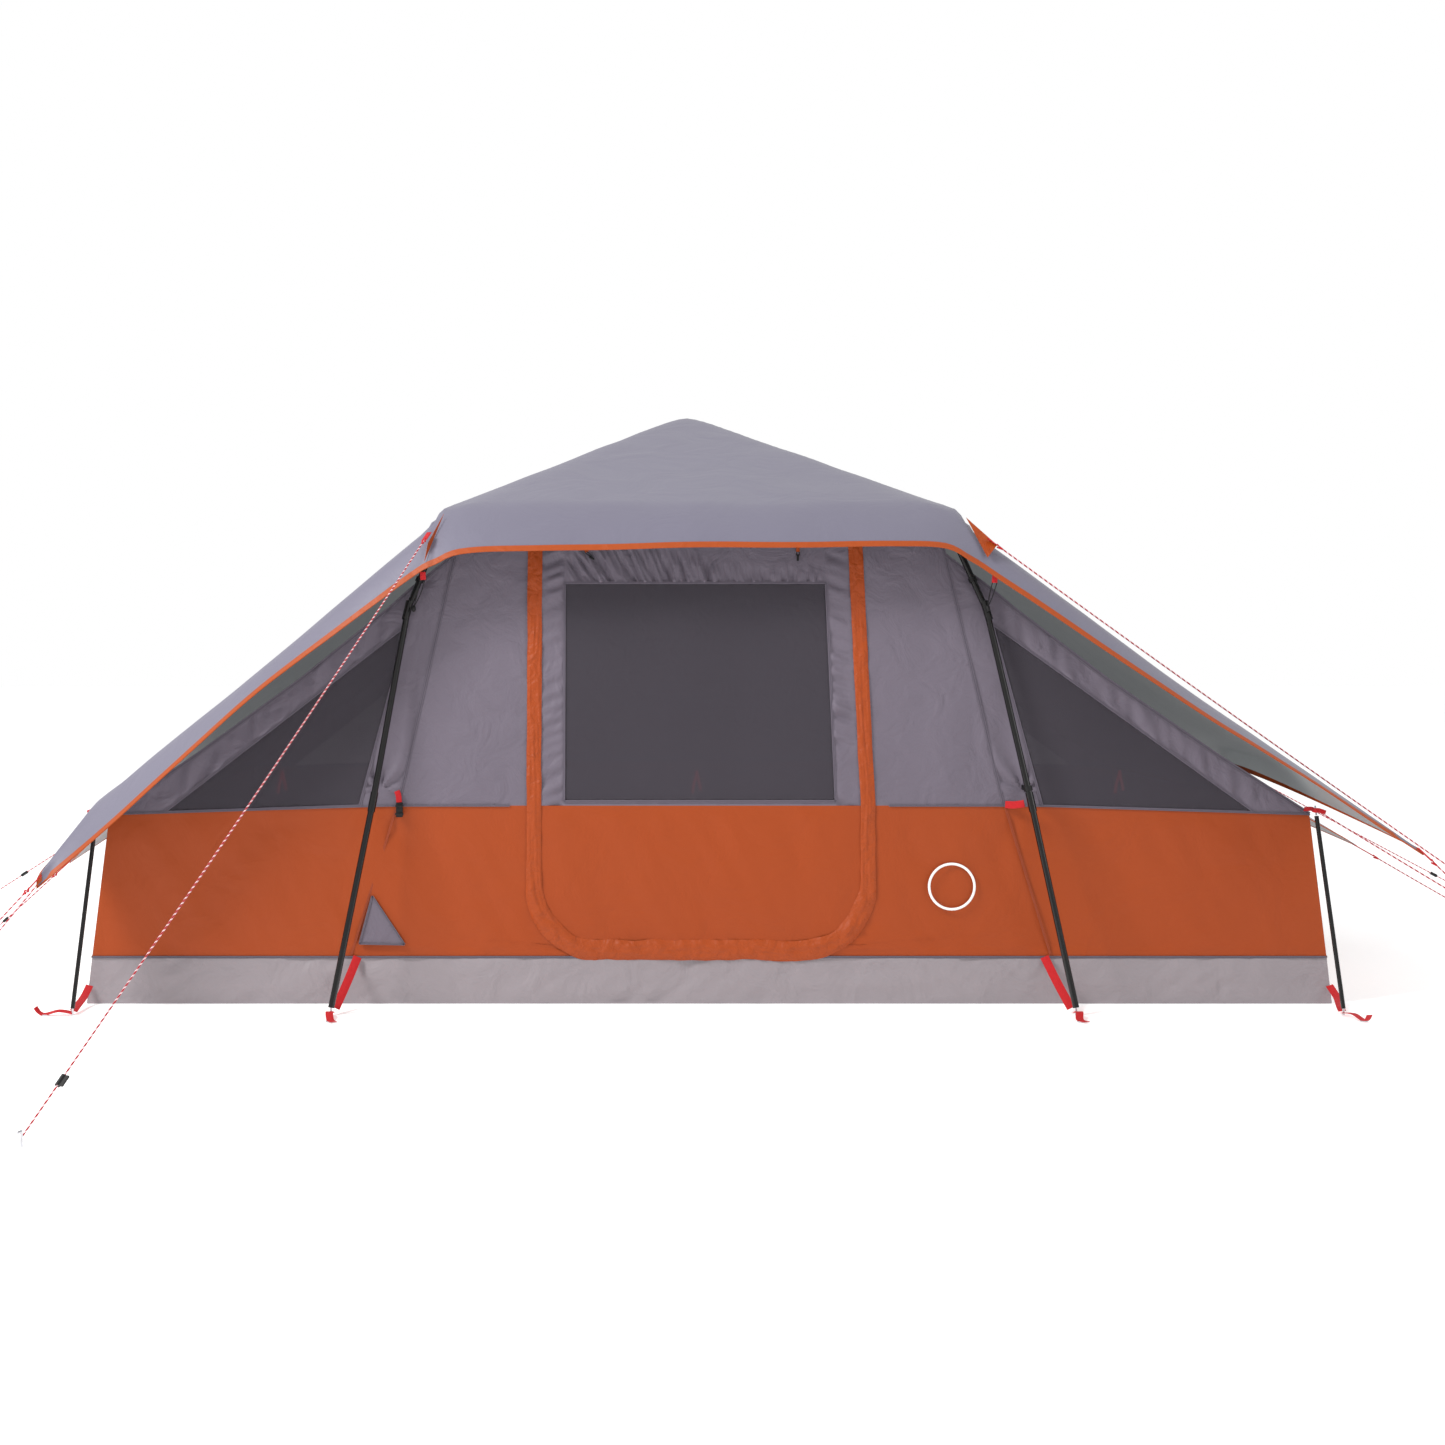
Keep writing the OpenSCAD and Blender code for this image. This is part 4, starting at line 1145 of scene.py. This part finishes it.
def make_door():
    """The door: its orange foot, the grey frame round its window, and the mesh."""
    def foot(u, v):
        z = mix(DOOR_LOW, BAND_H, v)
        drop = max(0.0, DOOR_LOW + DOOR_R - z)
        half = DOOR_HALF - DOOR_R + math.sqrt(max(0.0, DOOR_R * DOOR_R - drop * drop))
        p = vec(CABIN_X + mix(-half, half, u), -HALF_D - DOOR_PROUD, z)
        slack = band_slack(p, u, v) + 0.012 * math.sin(math.pi * u) * math.sin(math.pi * v)
        return p - vec(0, slack, 0)

    obj = cloth_grid(90, 44, foot, (0, -1, 0))
    settle(obj, "door_foot", ORANGE_CLOTH, "door")
    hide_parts("door_lower_panel")

    def side_puckers(p, u, v):
        """Gathers that run in from the window's edge and slope up a little."""
        slope = p.z + 0.35 * (p.x - CABIN_X) * (1 if p.x > CABIN_X else -1)
        size = 0.6 + 0.6 * noise.noise(vec(p.x * 3, 0, p.z * 4))
        wave = noise.noise(vec(61, p.x * 4, slope * 30))
        near_mesh = u if p.x < CABIN_X else 1 - u
        return 0.030 * size * wave * smooth(near_mesh * 1.4) * smooth(min(u, 1 - u) / 0.12)

    def fan(p, u, v):
        """Gathers above the window, slanting to the left of its middle and short to the right."""
        x = u + 0.10 * (v - 0.2) * (1 - u) ** 1.5
        wave = noise.noise(vec(x * 52, v * 1.4, 62)) + 0.35 * noise.noise(vec(x * 110, v * 2.0, 63))
        reach = mix(1.25, 0.5, smooth((u - 0.25) / 0.5))
        falls = smooth((reach - v) / 0.55)
        return 0.018 * wave * falls * smooth(v / 0.06 + 0.35) * edge_fade(u, 0.5, 0.03)

    top = DOOR_TOP
    frame_node = "door_upper_frame"
    door_panel(
        "door_stile_left",
        [(-DOOR_HALF, BAND_H), (-MESH_LEFT, BAND_H), (-MESH_LEFT, top), (-DOOR_HALF, top)],
        14, 220, side_puckers, WALL_CLOTH, frame_node,
    )
    door_panel(
        "door_stile_right",
        [(mesh_right(BAND_H), BAND_H), (DOOR_HALF, BAND_H), (door_right(top), top), (mesh_right(top), top)],
        14, 220, side_puckers, WALL_CLOTH, frame_node,
    )
    door_panel(
        "door_head", [(-MESH_LEFT, MESH_TOP), (MESH_RIGHT_TOP, MESH_TOP), (mesh_right(top), top), (-MESH_LEFT, top)],
        360, 26, fan, WALL_CLOTH, frame_node,
    )
    door_panel(
        "door_rail",
        [(-MESH_LEFT, BAND_H), (mesh_right(BAND_H), BAND_H), (MESH_RIGHT_LOW, MESH_LOW), (-MESH_LEFT, MESH_LOW)],
        60, 3, lambda p, u, v: 0.0, WALL_CLOTH, frame_node,
    )
    door_panel(
        "door_window",
        [(-MESH_LEFT, MESH_LOW), (MESH_RIGHT_LOW, MESH_LOW), (MESH_RIGHT_TOP, MESH_TOP), (-MESH_LEFT, MESH_TOP)],
        60, 50, lambda p, u, v: 0.006 * soft_noise(p, 0.3, 62) * edge_fade(u, v), INSECT_MESH, "door_mesh",
    )


def flap_path():
    """The line of the door's zip, from the top left, down, round the bottom and up the right."""
    flat = DOOR_HALF - DOOR_R
    path = []
    for i in range(90):
        path.append((-DOOR_HALF, mix(DOOR_TOP - 0.002, DOOR_LOW + DOOR_R, i / 90)))
    for i in range(24):
        angle = math.pi / 2 * i / 24
        path.append((-flat - DOOR_R * math.cos(angle), DOOR_LOW + DOOR_R - DOOR_R * math.sin(angle)))
    for i in range(50):
        path.append((mix(-flat, flat, i / 50), DOOR_LOW))
    for i in range(24):
        angle = math.pi / 2 * i / 24
        path.append((flat + DOOR_R * math.sin(angle), DOOR_LOW + DOOR_R - DOOR_R * math.cos(angle)))
    for i in range(91):
        z = mix(DOOR_LOW + DOOR_R, DOOR_TOP - 0.002, i / 90)
        path.append((door_right(z), z))
    return path


def make_zip_flap():
    """The crinkled flap over the zip, wider and more rumpled round the bottom."""
    path = flap_path()
    count = len(path)
    columns = 18

    def frame_at(i):
        x, z = path[i]
        before, after = path[max(0, i - 1)], path[min(count - 1, i + 1)]
        dx, dz = after[0] - before[0], after[1] - before[1]
        size = math.hypot(dx, dz)
        return x, z, dz / size, -dx / size

    def place(u, v):
        i = min(count - 1, round(v * (count - 1)))
        x, z, nx, nz = frame_at(i)
        low = smooth((DOOR_LOW + DOOR_R + 0.1 - z) / 0.25)
        s = i / count * 30
        wobble = 0.0022 * noise.noise(vec(s * 0.9, 0, 71)) * (1 + 2.5 * low)
        half = mix(0.026, 0.036, low) + (0.0015 + 0.004 * low) * noise.noise(vec(s * 1.7, 5, 72))
        across = (u - 0.5) * 2
        px = x + nx * (across * half + wobble)
        pz = z + nz * (across * half + wobble)
        crown = (0.004 + 0.005 * low) * (1 - abs(across) ** 3)
        lengthwise = 0.0045 * noise.noise(vec(across * 3.2 + 0.5 * math.sin(s * 1.3), s * 0.8, 74))
        crinkle = (0.0045 + 0.006 * low) * noise.noise(vec(px * 38, pz * 24, 73))
        edge = 1 - 0.6 * abs(across)
        proud = DOOR_PROUD + 0.0035 + crown + max(-0.0025, (lengthwise + crinkle) * edge)
        return on_wall(CABIN_X + px, pz, FRONT, proud)

    obj = cloth_grid(columns, count - 1, place, (0, -1, 0), thick=0.0016)
    settle(obj, "zip_flap", FLAP_CLOTH, "door")
    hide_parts("door_zip_flap")


# --- Seams, tabs, clips and other small pieces ----------------------------------------------


def round_bar(name, points, radius, sides=8, material=None, body="tent"):
    """A round cord or rod through points, black unless another material is given."""
    points = [Vector(p) for p in points]
    along = ways(points)
    up = vec(0.13, 0.21, 0.97).normalized()

    def cross(i, p):
        side = along[i].cross(up).normalized()
        rise = side.cross(along[i])
        turns = [2 * math.pi * j / sides for j in range(sides)]
        return [p + radius * (math.cos(a) * side + math.sin(a) * rise) for a in turns]

    obj = lie_along(name, points, cross)
    shade_smooth(obj, 70)
    return settle(obj, name, material or BLACK_PLASTIC, body)


def fix_scale(obj):
    """Writes an object's place, turn and scale into its mesh."""
    bpy.ops.object.transform_apply(location=True, rotation=True, scale=True)
    return obj


def block(place, size):
    """A plain box at a place."""
    bpy.ops.object.select_all(action="DESELECT")
    bpy.ops.mesh.primitive_cube_add(size=1, location=place)
    bpy.context.object.scale = size
    return fix_scale(bpy.context.object)


def cloth_patch(name, corners, material, columns=8, rows=8, outward=(0, -1, 0), body="tent", depth=0.0):
    """A small sewn-on patch between three or four corners."""
    corners = [Vector(c) for c in corners]
    if len(corners) == 3:
        corners.append(corners[2])
    a, b, c, d = corners

    def place(u, v):
        p = mix(mix(a, b, u), mix(d, c, u), v)
        return p + Vector(outward).normalized() * depth * soft_noise(p, 0.05, 81) * edge_fade(u, v)

    obj = cloth_grid(columns, rows, place, outward, thick=0.0014)
    return settle(obj, name, material, body)


SEAM_LIFT = 0.0025
DOOR_GAP = 0.02


def seam_row(name, place, steps, width, face, **looks):
    """A seam through place(t) for t from 0 to 1."""
    seam(name, [place(i / steps) for i in range(steps + 1)], width, face, **looks)


def make_seams():
    """The sewn seams of the walls, windows and door."""
    for side, end, label in BY_END:
        face = (0, end, WALL_LEAN)
        top = on_wall(CABIN_X + side * seam_out(WALL_H - 0.02), WALL_H - 0.02, end, 0.001)
        foot = on_wall(CABIN_X + side * SEAM_LOW, BAND_H, end, 0.001)
        seam(f"cabin_seam_{label}", straight(top, foot), 0.011, face)
        low = on_wall(CABIN_X + side * 1.235, TUB_H + 0.01, end, 0.003)
        bend = on_wall(CABIN_X + side * 1.075, BAND_H - 0.004, end, 0.003)
        seam(f"band_seam_{label}", straight(bend, low), 0.008, face, ORANGE_SEAM, "orange_cloth")
        at = {key: on_wall(x, z, end, 0.0015) for key, (x, z) in wing_points(side).items()}
        for part, a, b, width in (
            ("foot", "mesh_inner", "mesh_outer", 0.006), ("side", "mesh_inner", "mesh_peak", 0.010),
            ("top", "mesh_peak", "mesh_outer", 0.010),
        ):
            seam(f"window_{part}_{label}", straight(at[a], at[b]), width, face)
        edge = straight(at["seam_head"], at["corner"], 60)
        edge = [p - vec(0, 0, roof_droop(i / 60)) for i, p in enumerate(edge)]
        seam(f"wing_edge_{label}", edge, 0.014, face)
        if side == RIGHT:
            make_wall_edges(end, face)
    for side in (LEFT, RIGHT):
        depth = HALF_D - 0.003
        x = side * (side_out(TUB_H) + SEAM_LIFT)
        seam_row(
            f"tub_seam_{SIDE_NAME[side]}", lambda t: vec(x, mix(-depth, depth, t), TUB_H),
            40, 0.008, (side, 0, 0), slot="tub_cloth",
        )
        x = side * (side_out(BAND_H) + 0.002)
        seam_row(
            f"band_seam_side_{SIDE_NAME[side]}",
            lambda t: vec(x, mix(-depth, depth, t), band_top(HALF_W)), 40, 0.010, (side, 0, 0.5),
        )
    tl, tr, bl, br = (
        on_wall(CABIN_X + x, z, FRONT, DOOR_PROUD + 0.0022) for x, z in (
            (-MESH_LEFT, MESH_TOP), (MESH_RIGHT_TOP, MESH_TOP), (-MESH_LEFT, MESH_LOW), (MESH_RIGHT_LOW, MESH_LOW),
        )
    )
    for name, a, b in (("top", tl, tr), ("foot", bl, br), ("left", bl, tl), ("right", br, tr)):
        seam(f"door_window_seam_{name}", straight(a, b, 40), 0.009, (0, -1, WALL_LEAN), body="door")


def make_wall_edges(end, face):
    """The seams along the top of the lower wall and of the tub, at the front or the back."""
    high = side_out(BAND_H) - 0.004
    band = [mix(-high, high, i / 60) for i in range(61)]
    band = [on_wall(x, band_top(x), end, SEAM_LIFT) for x in band]
    if end == FRONT:
        left = [p for p in band if p.x < CABIN_X - DOOR_HALF - DOOR_GAP]
        right = [p for p in band if p.x > CABIN_X + DOOR_HALF + DOOR_GAP]
        seam("band_top_front_left", left, 0.007, face)
        seam("band_top_front_right", right, 0.007, face)
    else:
        seam("band_top_back", band, 0.007, face)
    tub = side_out(TUB_H) - 0.003
    seam_row(
        f"tub_seam_{END_NAME[end]}", lambda t: vec(mix(-tub, tub, t), end * (HALF_D + SEAM_LIFT), TUB_H),
        60, 0.008, (0, end, 0), slot="tub_cloth",
    )


def make_toggles():
    """A tab with a toggle below it, twice, to hold the door when it is rolled up."""
    for name, x, lean in (("left", -0.44, 0.022), ("right", 0.32, 0.0)):
        y = -wall_out(1.6)
        body = f"toggle_{name}"
        tab = curve_through([(x, y - 0.004, 1.632), (x, y - 0.009, 1.618), (x + lean * 0.3, y - 0.010, 1.600)], 5)
        ribbon(f"toggle_tab_{name}", tab, 0.013, (0, -1, 0), material=FLAP_CLOTH, body=body)
        y -= 0.010
        loop = curve_through([
            (x - 0.003, y, 1.603), (x - 0.005 + lean * 0.5, y, 1.592), (x + lean, y, 1.584),
            (x + 0.006 + lean * 0.6, y, 1.592), (x + 0.003, y, 1.603),
        ], 4)
        round_bar(f"toggle_loop_{name}", loop, 0.0014, body=body)
        a = vec(x + lean - 0.008, y, 1.588 - abs(lean) * 0.2)
        b = vec(x + lean + 0.010, y, 1.578 - abs(lean) * 0.2)
        if lean == 0.0:
            a, b = vec(x, y, 1.592), vec(x, y, 1.568)
        bpy.ops.object.select_all(action="DESELECT")
        bpy.ops.mesh.primitive_cylinder_add(vertices=20, radius=0.0036, depth=(b - a).length)
        rod = bpy.context.object
        rod.rotation_euler = (b - a).to_track_quat("Z", "Y").to_euler()
        rod.location = (a + b) / 2
        soften(fix_scale(rod), 0.0022, 3)
        shade_smooth(rod, 40)
        settle(rod, f"toggle_rod_{name}", BLACK_PLASTIC, body)
        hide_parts(f"toggle_{name}")


def make_pulls():
    """The red ribbons that show behind the windows."""
    for name, x in (("door", CABIN_X - 0.014), ("left", -1.514), ("right", 1.455)):
        y = -wall_out(0.825) + 0.010
        for number, (shift, turn, low) in enumerate(((-0.003, -0.012, 0.742), (0.004, 0.010, 0.752))):
            path = curve_through([
                (x, y, 0.823), (x + shift, y + 0.003, 0.80), (x + shift + turn * 0.6, y + 0.004, 0.775),
                (x + shift + turn, y + 0.002 + 0.002 * number, low),
            ], 6)
            obj = ribbon(
                f"window_ribbon_{name}_{number}", path, 0.011, (0.25, -1, 0), material=RIBBON_PAINTED_GLOW, body=f"pull_{name}",
            )
            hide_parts(f"window_pull_{name}")


# Where the legs and posts stand, outward from the cabin's or the tent's middle
LEG_FOOT_X, FOOT_Y, LEG_EYE = 1.275, 1.620, (1.262, 1.745)
POST_FOOT_X, POST_PIN = 2.175, (2.125, 1.500, 0.692)
POST_SHIFT = -0.015
POST_EYE = {LEFT: (-2.282, 1.625), RIGHT: (2.185, 1.738)}
EYE_Z = 0.0045


def make_foot_straps():
    """The red webbing that ties each foot to the tub, with a tail to its peg eyelet."""
    for side, end, label in BY_SIDE:
        foot = vec(CABIN_X + side * LEG_FOOT_X, end * FOOT_Y, 0.024)
        top = vec(CABIN_X + side * 1.212, end * (HALF_D + 0.008), TUB_H + 0.002)
        low = foot + vec(-side * 0.012, -end * 0.022, -0.004)
        down = curve_through([top, mix(top, low, 0.5) + vec(0, 0, -0.004), low], 8)
        obj = ribbon(f"leg_strap_{label}", down, 0.030, (-side * 0.35, end * 1.0, 0.55))
        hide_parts("foot_straps")
        eye = vec(CABIN_X + side * LEG_EYE[0], end * LEG_EYE[1], EYE_Z)
        tail = curve_through([
            foot + vec(0, end * 0.006, -0.014), mix(foot, eye, 0.45) + vec(side * 0.004, 0, 0.006),
            eye + vec(0, -end * 0.012, 0.001), eye + vec(0.016, end * 0.024, 0.001),
        ], 8)
        ribbon(f"leg_tail_{label}", tail, 0.026, (0, 0, 1))
        foot = vec(side * POST_FOOT_X + POST_SHIFT, end * FOOT_Y, 0.022)
        corner = vec(side * (HALF_W - 0.012), end * (HALF_D + 0.008), 0.066)
        path = curve_through([
            corner, corner + vec(side * 0.004, end * 0.06, -0.030),
            mix(corner, foot, 0.75) + vec(0, 0, -0.012), foot + vec(0, -end * 0.012, -0.010),
        ], 8)
        ribbon(f"post_strap_{label}", path, 0.026, (-side * 0.25, end * 0.9, 0.6))
        eye = vec(POST_EYE[side][0], end * POST_EYE[side][1], EYE_Z)
        way = (eye - foot).normalized()
        level = vec(way.x, way.y, 0)
        path = curve_through([
            foot + vec(0, 0, -0.014), mix(foot, eye, 0.5) + vec(0, 0, 0.002), eye,
            eye + level * 0.020 + vec(0, 0, 0.006), eye + level * 0.034 + vec(0, 0, 0.024),
        ], 8)
        ribbon(f"post_tail_{label}", path, 0.022, (0, 0, 1) if abs(way.y) > 0.5 else (0, -0.25, 1))


def make_post_loops():
    """The red webbing loop round each wing post's pin, sewn to the tent's corner."""
    for side, end, label in BY_SIDE:
        x, y, z = POST_PIN
        pin = vec(side * x + POST_SHIFT, end * y, z)
        corner = on_wall(side * (side_out(BAND_H) - 0.02), BAND_H - 0.012, end, 0.004)
        path = curve_through([
            corner, mix(corner, pin, 0.6) + vec(0, 0, 0.003), pin + vec(-side * 0.010, end * 0.006, 0),
            pin + vec(side * 0.004, end * 0.012, 0), pin + vec(side * 0.028, end * 0.012, -0.008),
        ], 8)
        ribbon(f"post_loop_{label}", path, 0.016, (-side * 0.3, end, 0.2))


# The corners of the orange reinforcing triangle on each side's eaves, as (x, distance out, z)
DARTS = {
    LEFT: ((-0.943, 1.345, 1.734), (-0.990, 1.440, 1.626), (-1.000, 1.470, 1.560)),
    RIGHT: ((0.917, 1.345, 1.722), (1.012, 1.425, 1.620), (0.972, 1.462, 1.575)),
}


# How far each kind of tab reaches back over the cloth from its line's start
TAB_BACK = {"mid": 0.100, "fly": 0.060, "eave": 0.040}
# The knot's turns, as steps along the line and offsets from it
KNOT = (
    (0.002, (0, 0, 0.004)), (0.010, (0.004, 0, -0.004)), (0.016, (-0.004, 0.002, 0.004)),
    (0.022, (0.003, -0.002, -0.003)), (0.010, (-0.005, 0.001, -0.003)), (0.028, (0, 0, 0)),
)


def make_eave_darts():
    """The orange reinforcing triangle at each eave, with the red tab that its guy line is tied to."""
    for side, end, label in BY_SIDE:
        corners = [vec(x, end * y, z) for x, y, z in DARTS[side]]
        cloth_patch(
            f"eave_dart_{label}", corners, FLAP_CLOTH, outward=(side * 0.4, end, 0.4), depth=0.003,
        )
    for name, start, peg, _ in GUYS:
        kind = name.split("_")[1]
        if kind not in TAB_BACK:
            continue
        start, peg = Vector(start), Vector(peg)
        way = (peg - start).normalized()
        path = straight(start - way * TAB_BACK[kind], start + way * 0.004, 6)
        obj = ribbon(f"{name}_tab", path, 0.018, vec(0, 0, 1) - way * way.z, thick=0.003)
        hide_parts("tie_tabs")
        knot = curve_through([start + way * step + Vector(off) for step, off in KNOT], 5)
        round_bar(f"{name}_knot", knot, 0.0028, material=WEBBING)


LEG_AT_EAVE = (1.016, 1.374, 1.390)
EAVE_TAB = {LEFT: (-1.008, 1.524), RIGHT: (1.000, 1.514)}


def make_eave_elastics():
    """The red tab under each eave and the two elastic strands that hook to the leg."""
    for side, end, label in BY_SIDE:
        x, z = EAVE_TAB[side]
        hem = vec(x, end * 1.452, z)
        tab = [hem, hem + vec(-side * 0.001, -end * 0.006, -0.028)]
        ribbon(f"eave_tab_{label}", tab, 0.020, (0, end, 0))
        x, y, z = LEG_AT_EAVE
        leg = vec(CABIN_X + side * x, end * y, z)
        base = hem + vec(0, -end * 0.006, -0.026)
        for number, shift in enumerate((-0.008, 0.008)):
            path = curve_through([
                base + vec(shift, 0, 0), mix(base, leg, 0.5) + vec(shift * 0.7, 0, 0),
                leg + vec(0, end * 0.014, 0.012),
            ], 5)
            round_bar(f"eave_elastic_{label}_{number}", path, 0.0018)
        bpy.ops.object.select_all(action="DESELECT")
        bpy.ops.mesh.primitive_uv_sphere_add(segments=16, ring_count=10, radius=0.008)
        ball = bpy.context.object
        ball.location = leg + vec(0, end * 0.016, 0.006)
        ball.scale = (1, 1, 1.5)
        shade_smooth(fix_scale(ball), 60)
        settle(ball, f"eave_hook_{label}", BLACK_PLASTIC)


LOOSE_X = -1.094


def make_leg_clip_tabs():
    """The red tabs that join the lower hooks to the walls, and the one that hangs loose."""
    for side, end in ((RIGHT, FRONT), (LEFT, BACK), (RIGHT, BACK)):
        wall = on_wall(CABIN_X + side * 1.075, BAND_H + 0.004, end, 0.003)
        hook = vec(CABIN_X + side * 1.130, end * 1.462, 0.712)
        path = curve_through([wall, mix(wall, hook, 0.5) + vec(0, 0, -0.003), hook], 8)
        ribbon(f"hook_tab_{END_NAME[end]}_{SIDE_NAME[side]}", path, 0.026, (0, end, 0.1), thick=0.0025)
    y = -HALF_D - 0.012
    path = curve_through([(-1.104, y + 0.008, 0.752), (-1.098, y, 0.738), (-1.095, y, 0.712)], 6)
    ribbon("loose_clip_tab", path, 0.020, (0.1, -1, 0), thick=0.0025, body="loose_clip")
    clip = block((LOOSE_X, y, 0.686), (0.024, 0.010, 0.052))
    bpy.ops.object.mode_set(mode="EDIT")
    bpy.ops.mesh.select_all(action="SELECT")
    bpy.ops.mesh.bevel(offset=0.0035, segments=3, affect="EDGES")
    bpy.ops.object.mode_set(mode="OBJECT")
    shade_smooth(clip, 40)
    settle(clip, "loose_clip_body", BLACK_PLASTIC, "loose_clip")
    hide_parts("loose_clip")
    for number, (z, width) in enumerate(((0.700, 0.027), (0.672, 0.030))):
        bar = block((LOOSE_X, y - 0.0065, z), (width, 0.006, 0.008))
        soften(bar, 0.0015)
        shade_smooth(bar, 40)
        settle(bar, f"loose_clip_bar_{number}", BLACK_PLASTIC, "loose_clip")


PATCH_PROUD = 0.0105
INLET = ((-1.235, 0.214), (-1.076, 0.211), (-1.190, 0.382))
BADGE_X, BADGE_Z, BADGE_R, BADGE_THICK = 0.855, 0.415, 0.080, 0.0045


def make_patches():
    """The grey cable inlet beside the left leg and a plain round badge on the right."""
    corners = [on_wall(x, z, FRONT, PATCH_PROUD) for x, z in INLET]
    cloth_patch("cable_inlet", corners, WALL_CLOTH, columns=16, rows=16, depth=0.002)
    trim = corners + [corners[0]]
    for number, (a, b) in enumerate(zip(trim, trim[1:])):
        lift = vec(0, -0.002, 0)
        seam(f"cable_inlet_seam_{number}", straight(a + lift, b + lift), 0.007, (0, -1, 0))
    bpy.ops.object.select_all(action="DESELECT")
    bpy.ops.mesh.primitive_torus_add(
        location=(BADGE_X, -HALF_D - PATCH_PROUD, BADGE_Z), rotation=(math.radians(90), 0, 0),
        major_radius=BADGE_R, minor_radius=BADGE_THICK, major_segments=64, minor_segments=8,
    )
    ring = bpy.context.object
    ring.scale = (1, 1, 0.25)
    shade_smooth(fix_scale(ring), 60)
    settle(ring, "round_badge", WHITE_PRINT)


# --- Stage --------------------------------------------------------------------------------


LIGHT_AIM = vec(0, 0, 0.9)
LIGHTS = (("key", (-6.5, -5.0, 7.5), 2.5, 820), ("side", (7.0, -5.0, 4.5), 4.0, 110))
SKY_LIGHT, SKY_SEEN = 0.70, 1.0


def make_stage():
    """A pale, faintly glowing floor, an even bright sky and two soft lights."""
    bpy.ops.mesh.primitive_plane_add(size=120, location=(0, 0, -0.0005))
    floor = bpy.context.object
    floor.name = "stage_floor"
    shader = blank_material("pale floor").nodes["Principled BSDF"].inputs
    for key, value in (
        ("Base Color", (0.95, 0.95, 0.95, 1)), ("Roughness", 0.9), ("Emission Color", (1, 1, 1, 1)),
        ("Emission Strength", 0.34),
    ):
        shader[key].default_value = value
    floor.data.materials.append(bpy.data.materials["pale floor"])
    world = bpy.data.worlds.new("even sky")
    bpy.context.scene.world = world
    world.use_nodes = True
    sky = world.node_tree.nodes["Background"].inputs
    sky["Color"].default_value = (1, 1, 1, 1)
    seen = node_in(world.node_tree, "ShaderNodeLightPath", (-600, 0)).outputs["Is Camera Ray"]
    level = node_in(
        world.node_tree, "ShaderNodeMapRange", (-300, 0), Value=seen, To_Min=SKY_LIGHT, To_Max=SKY_SEEN,
    )
    feed(world.node_tree, sky["Strength"], level.outputs["Result"])
    for name, place, size, power in LIGHTS:
        bpy.ops.object.light_add(type="AREA", location=place)
        light = bpy.context.object
        light.name = name
        light.data.size = size
        light.data.energy = power
        light.rotation_euler = (LIGHT_AIM - Vector(place)).to_track_quat("-Z", "Y").to_euler()
    bpy.context.scene.view_settings.view_transform = "Standard"


def paint_frame():
    """Gives the CAD nodes that stay in view their finishes."""
    finishes = {"pole_black": POLE_BLACK, "black_plastic": BLACK_PLASTIC, "steel": STEEL}
    slots = {s["node"]: s["material_slot"] for s in frame["record"]["subparts"]}
    for name, obj in frame["nodes"].items():
        material = finishes.get(slots[name])
        if material is None:
            continue
        obj.data.materials.clear()
        obj.data.materials.append(material)


make_camera()
for guy in GUYS:
    make_guy(*guy)
make_fly()
make_fly_binding()
make_floor()
make_tub()
make_lower_front()
make_lower_others()
make_cabin_walls()
make_wings()
make_inner_roofs()
make_door()
make_zip_flap()
make_seams()
make_toggles()
make_pulls()
make_foot_straps()
make_post_loops()
make_eave_darts()
make_eave_elastics()
make_leg_clip_tabs()
make_patches()
paint_frame()
make_stage()
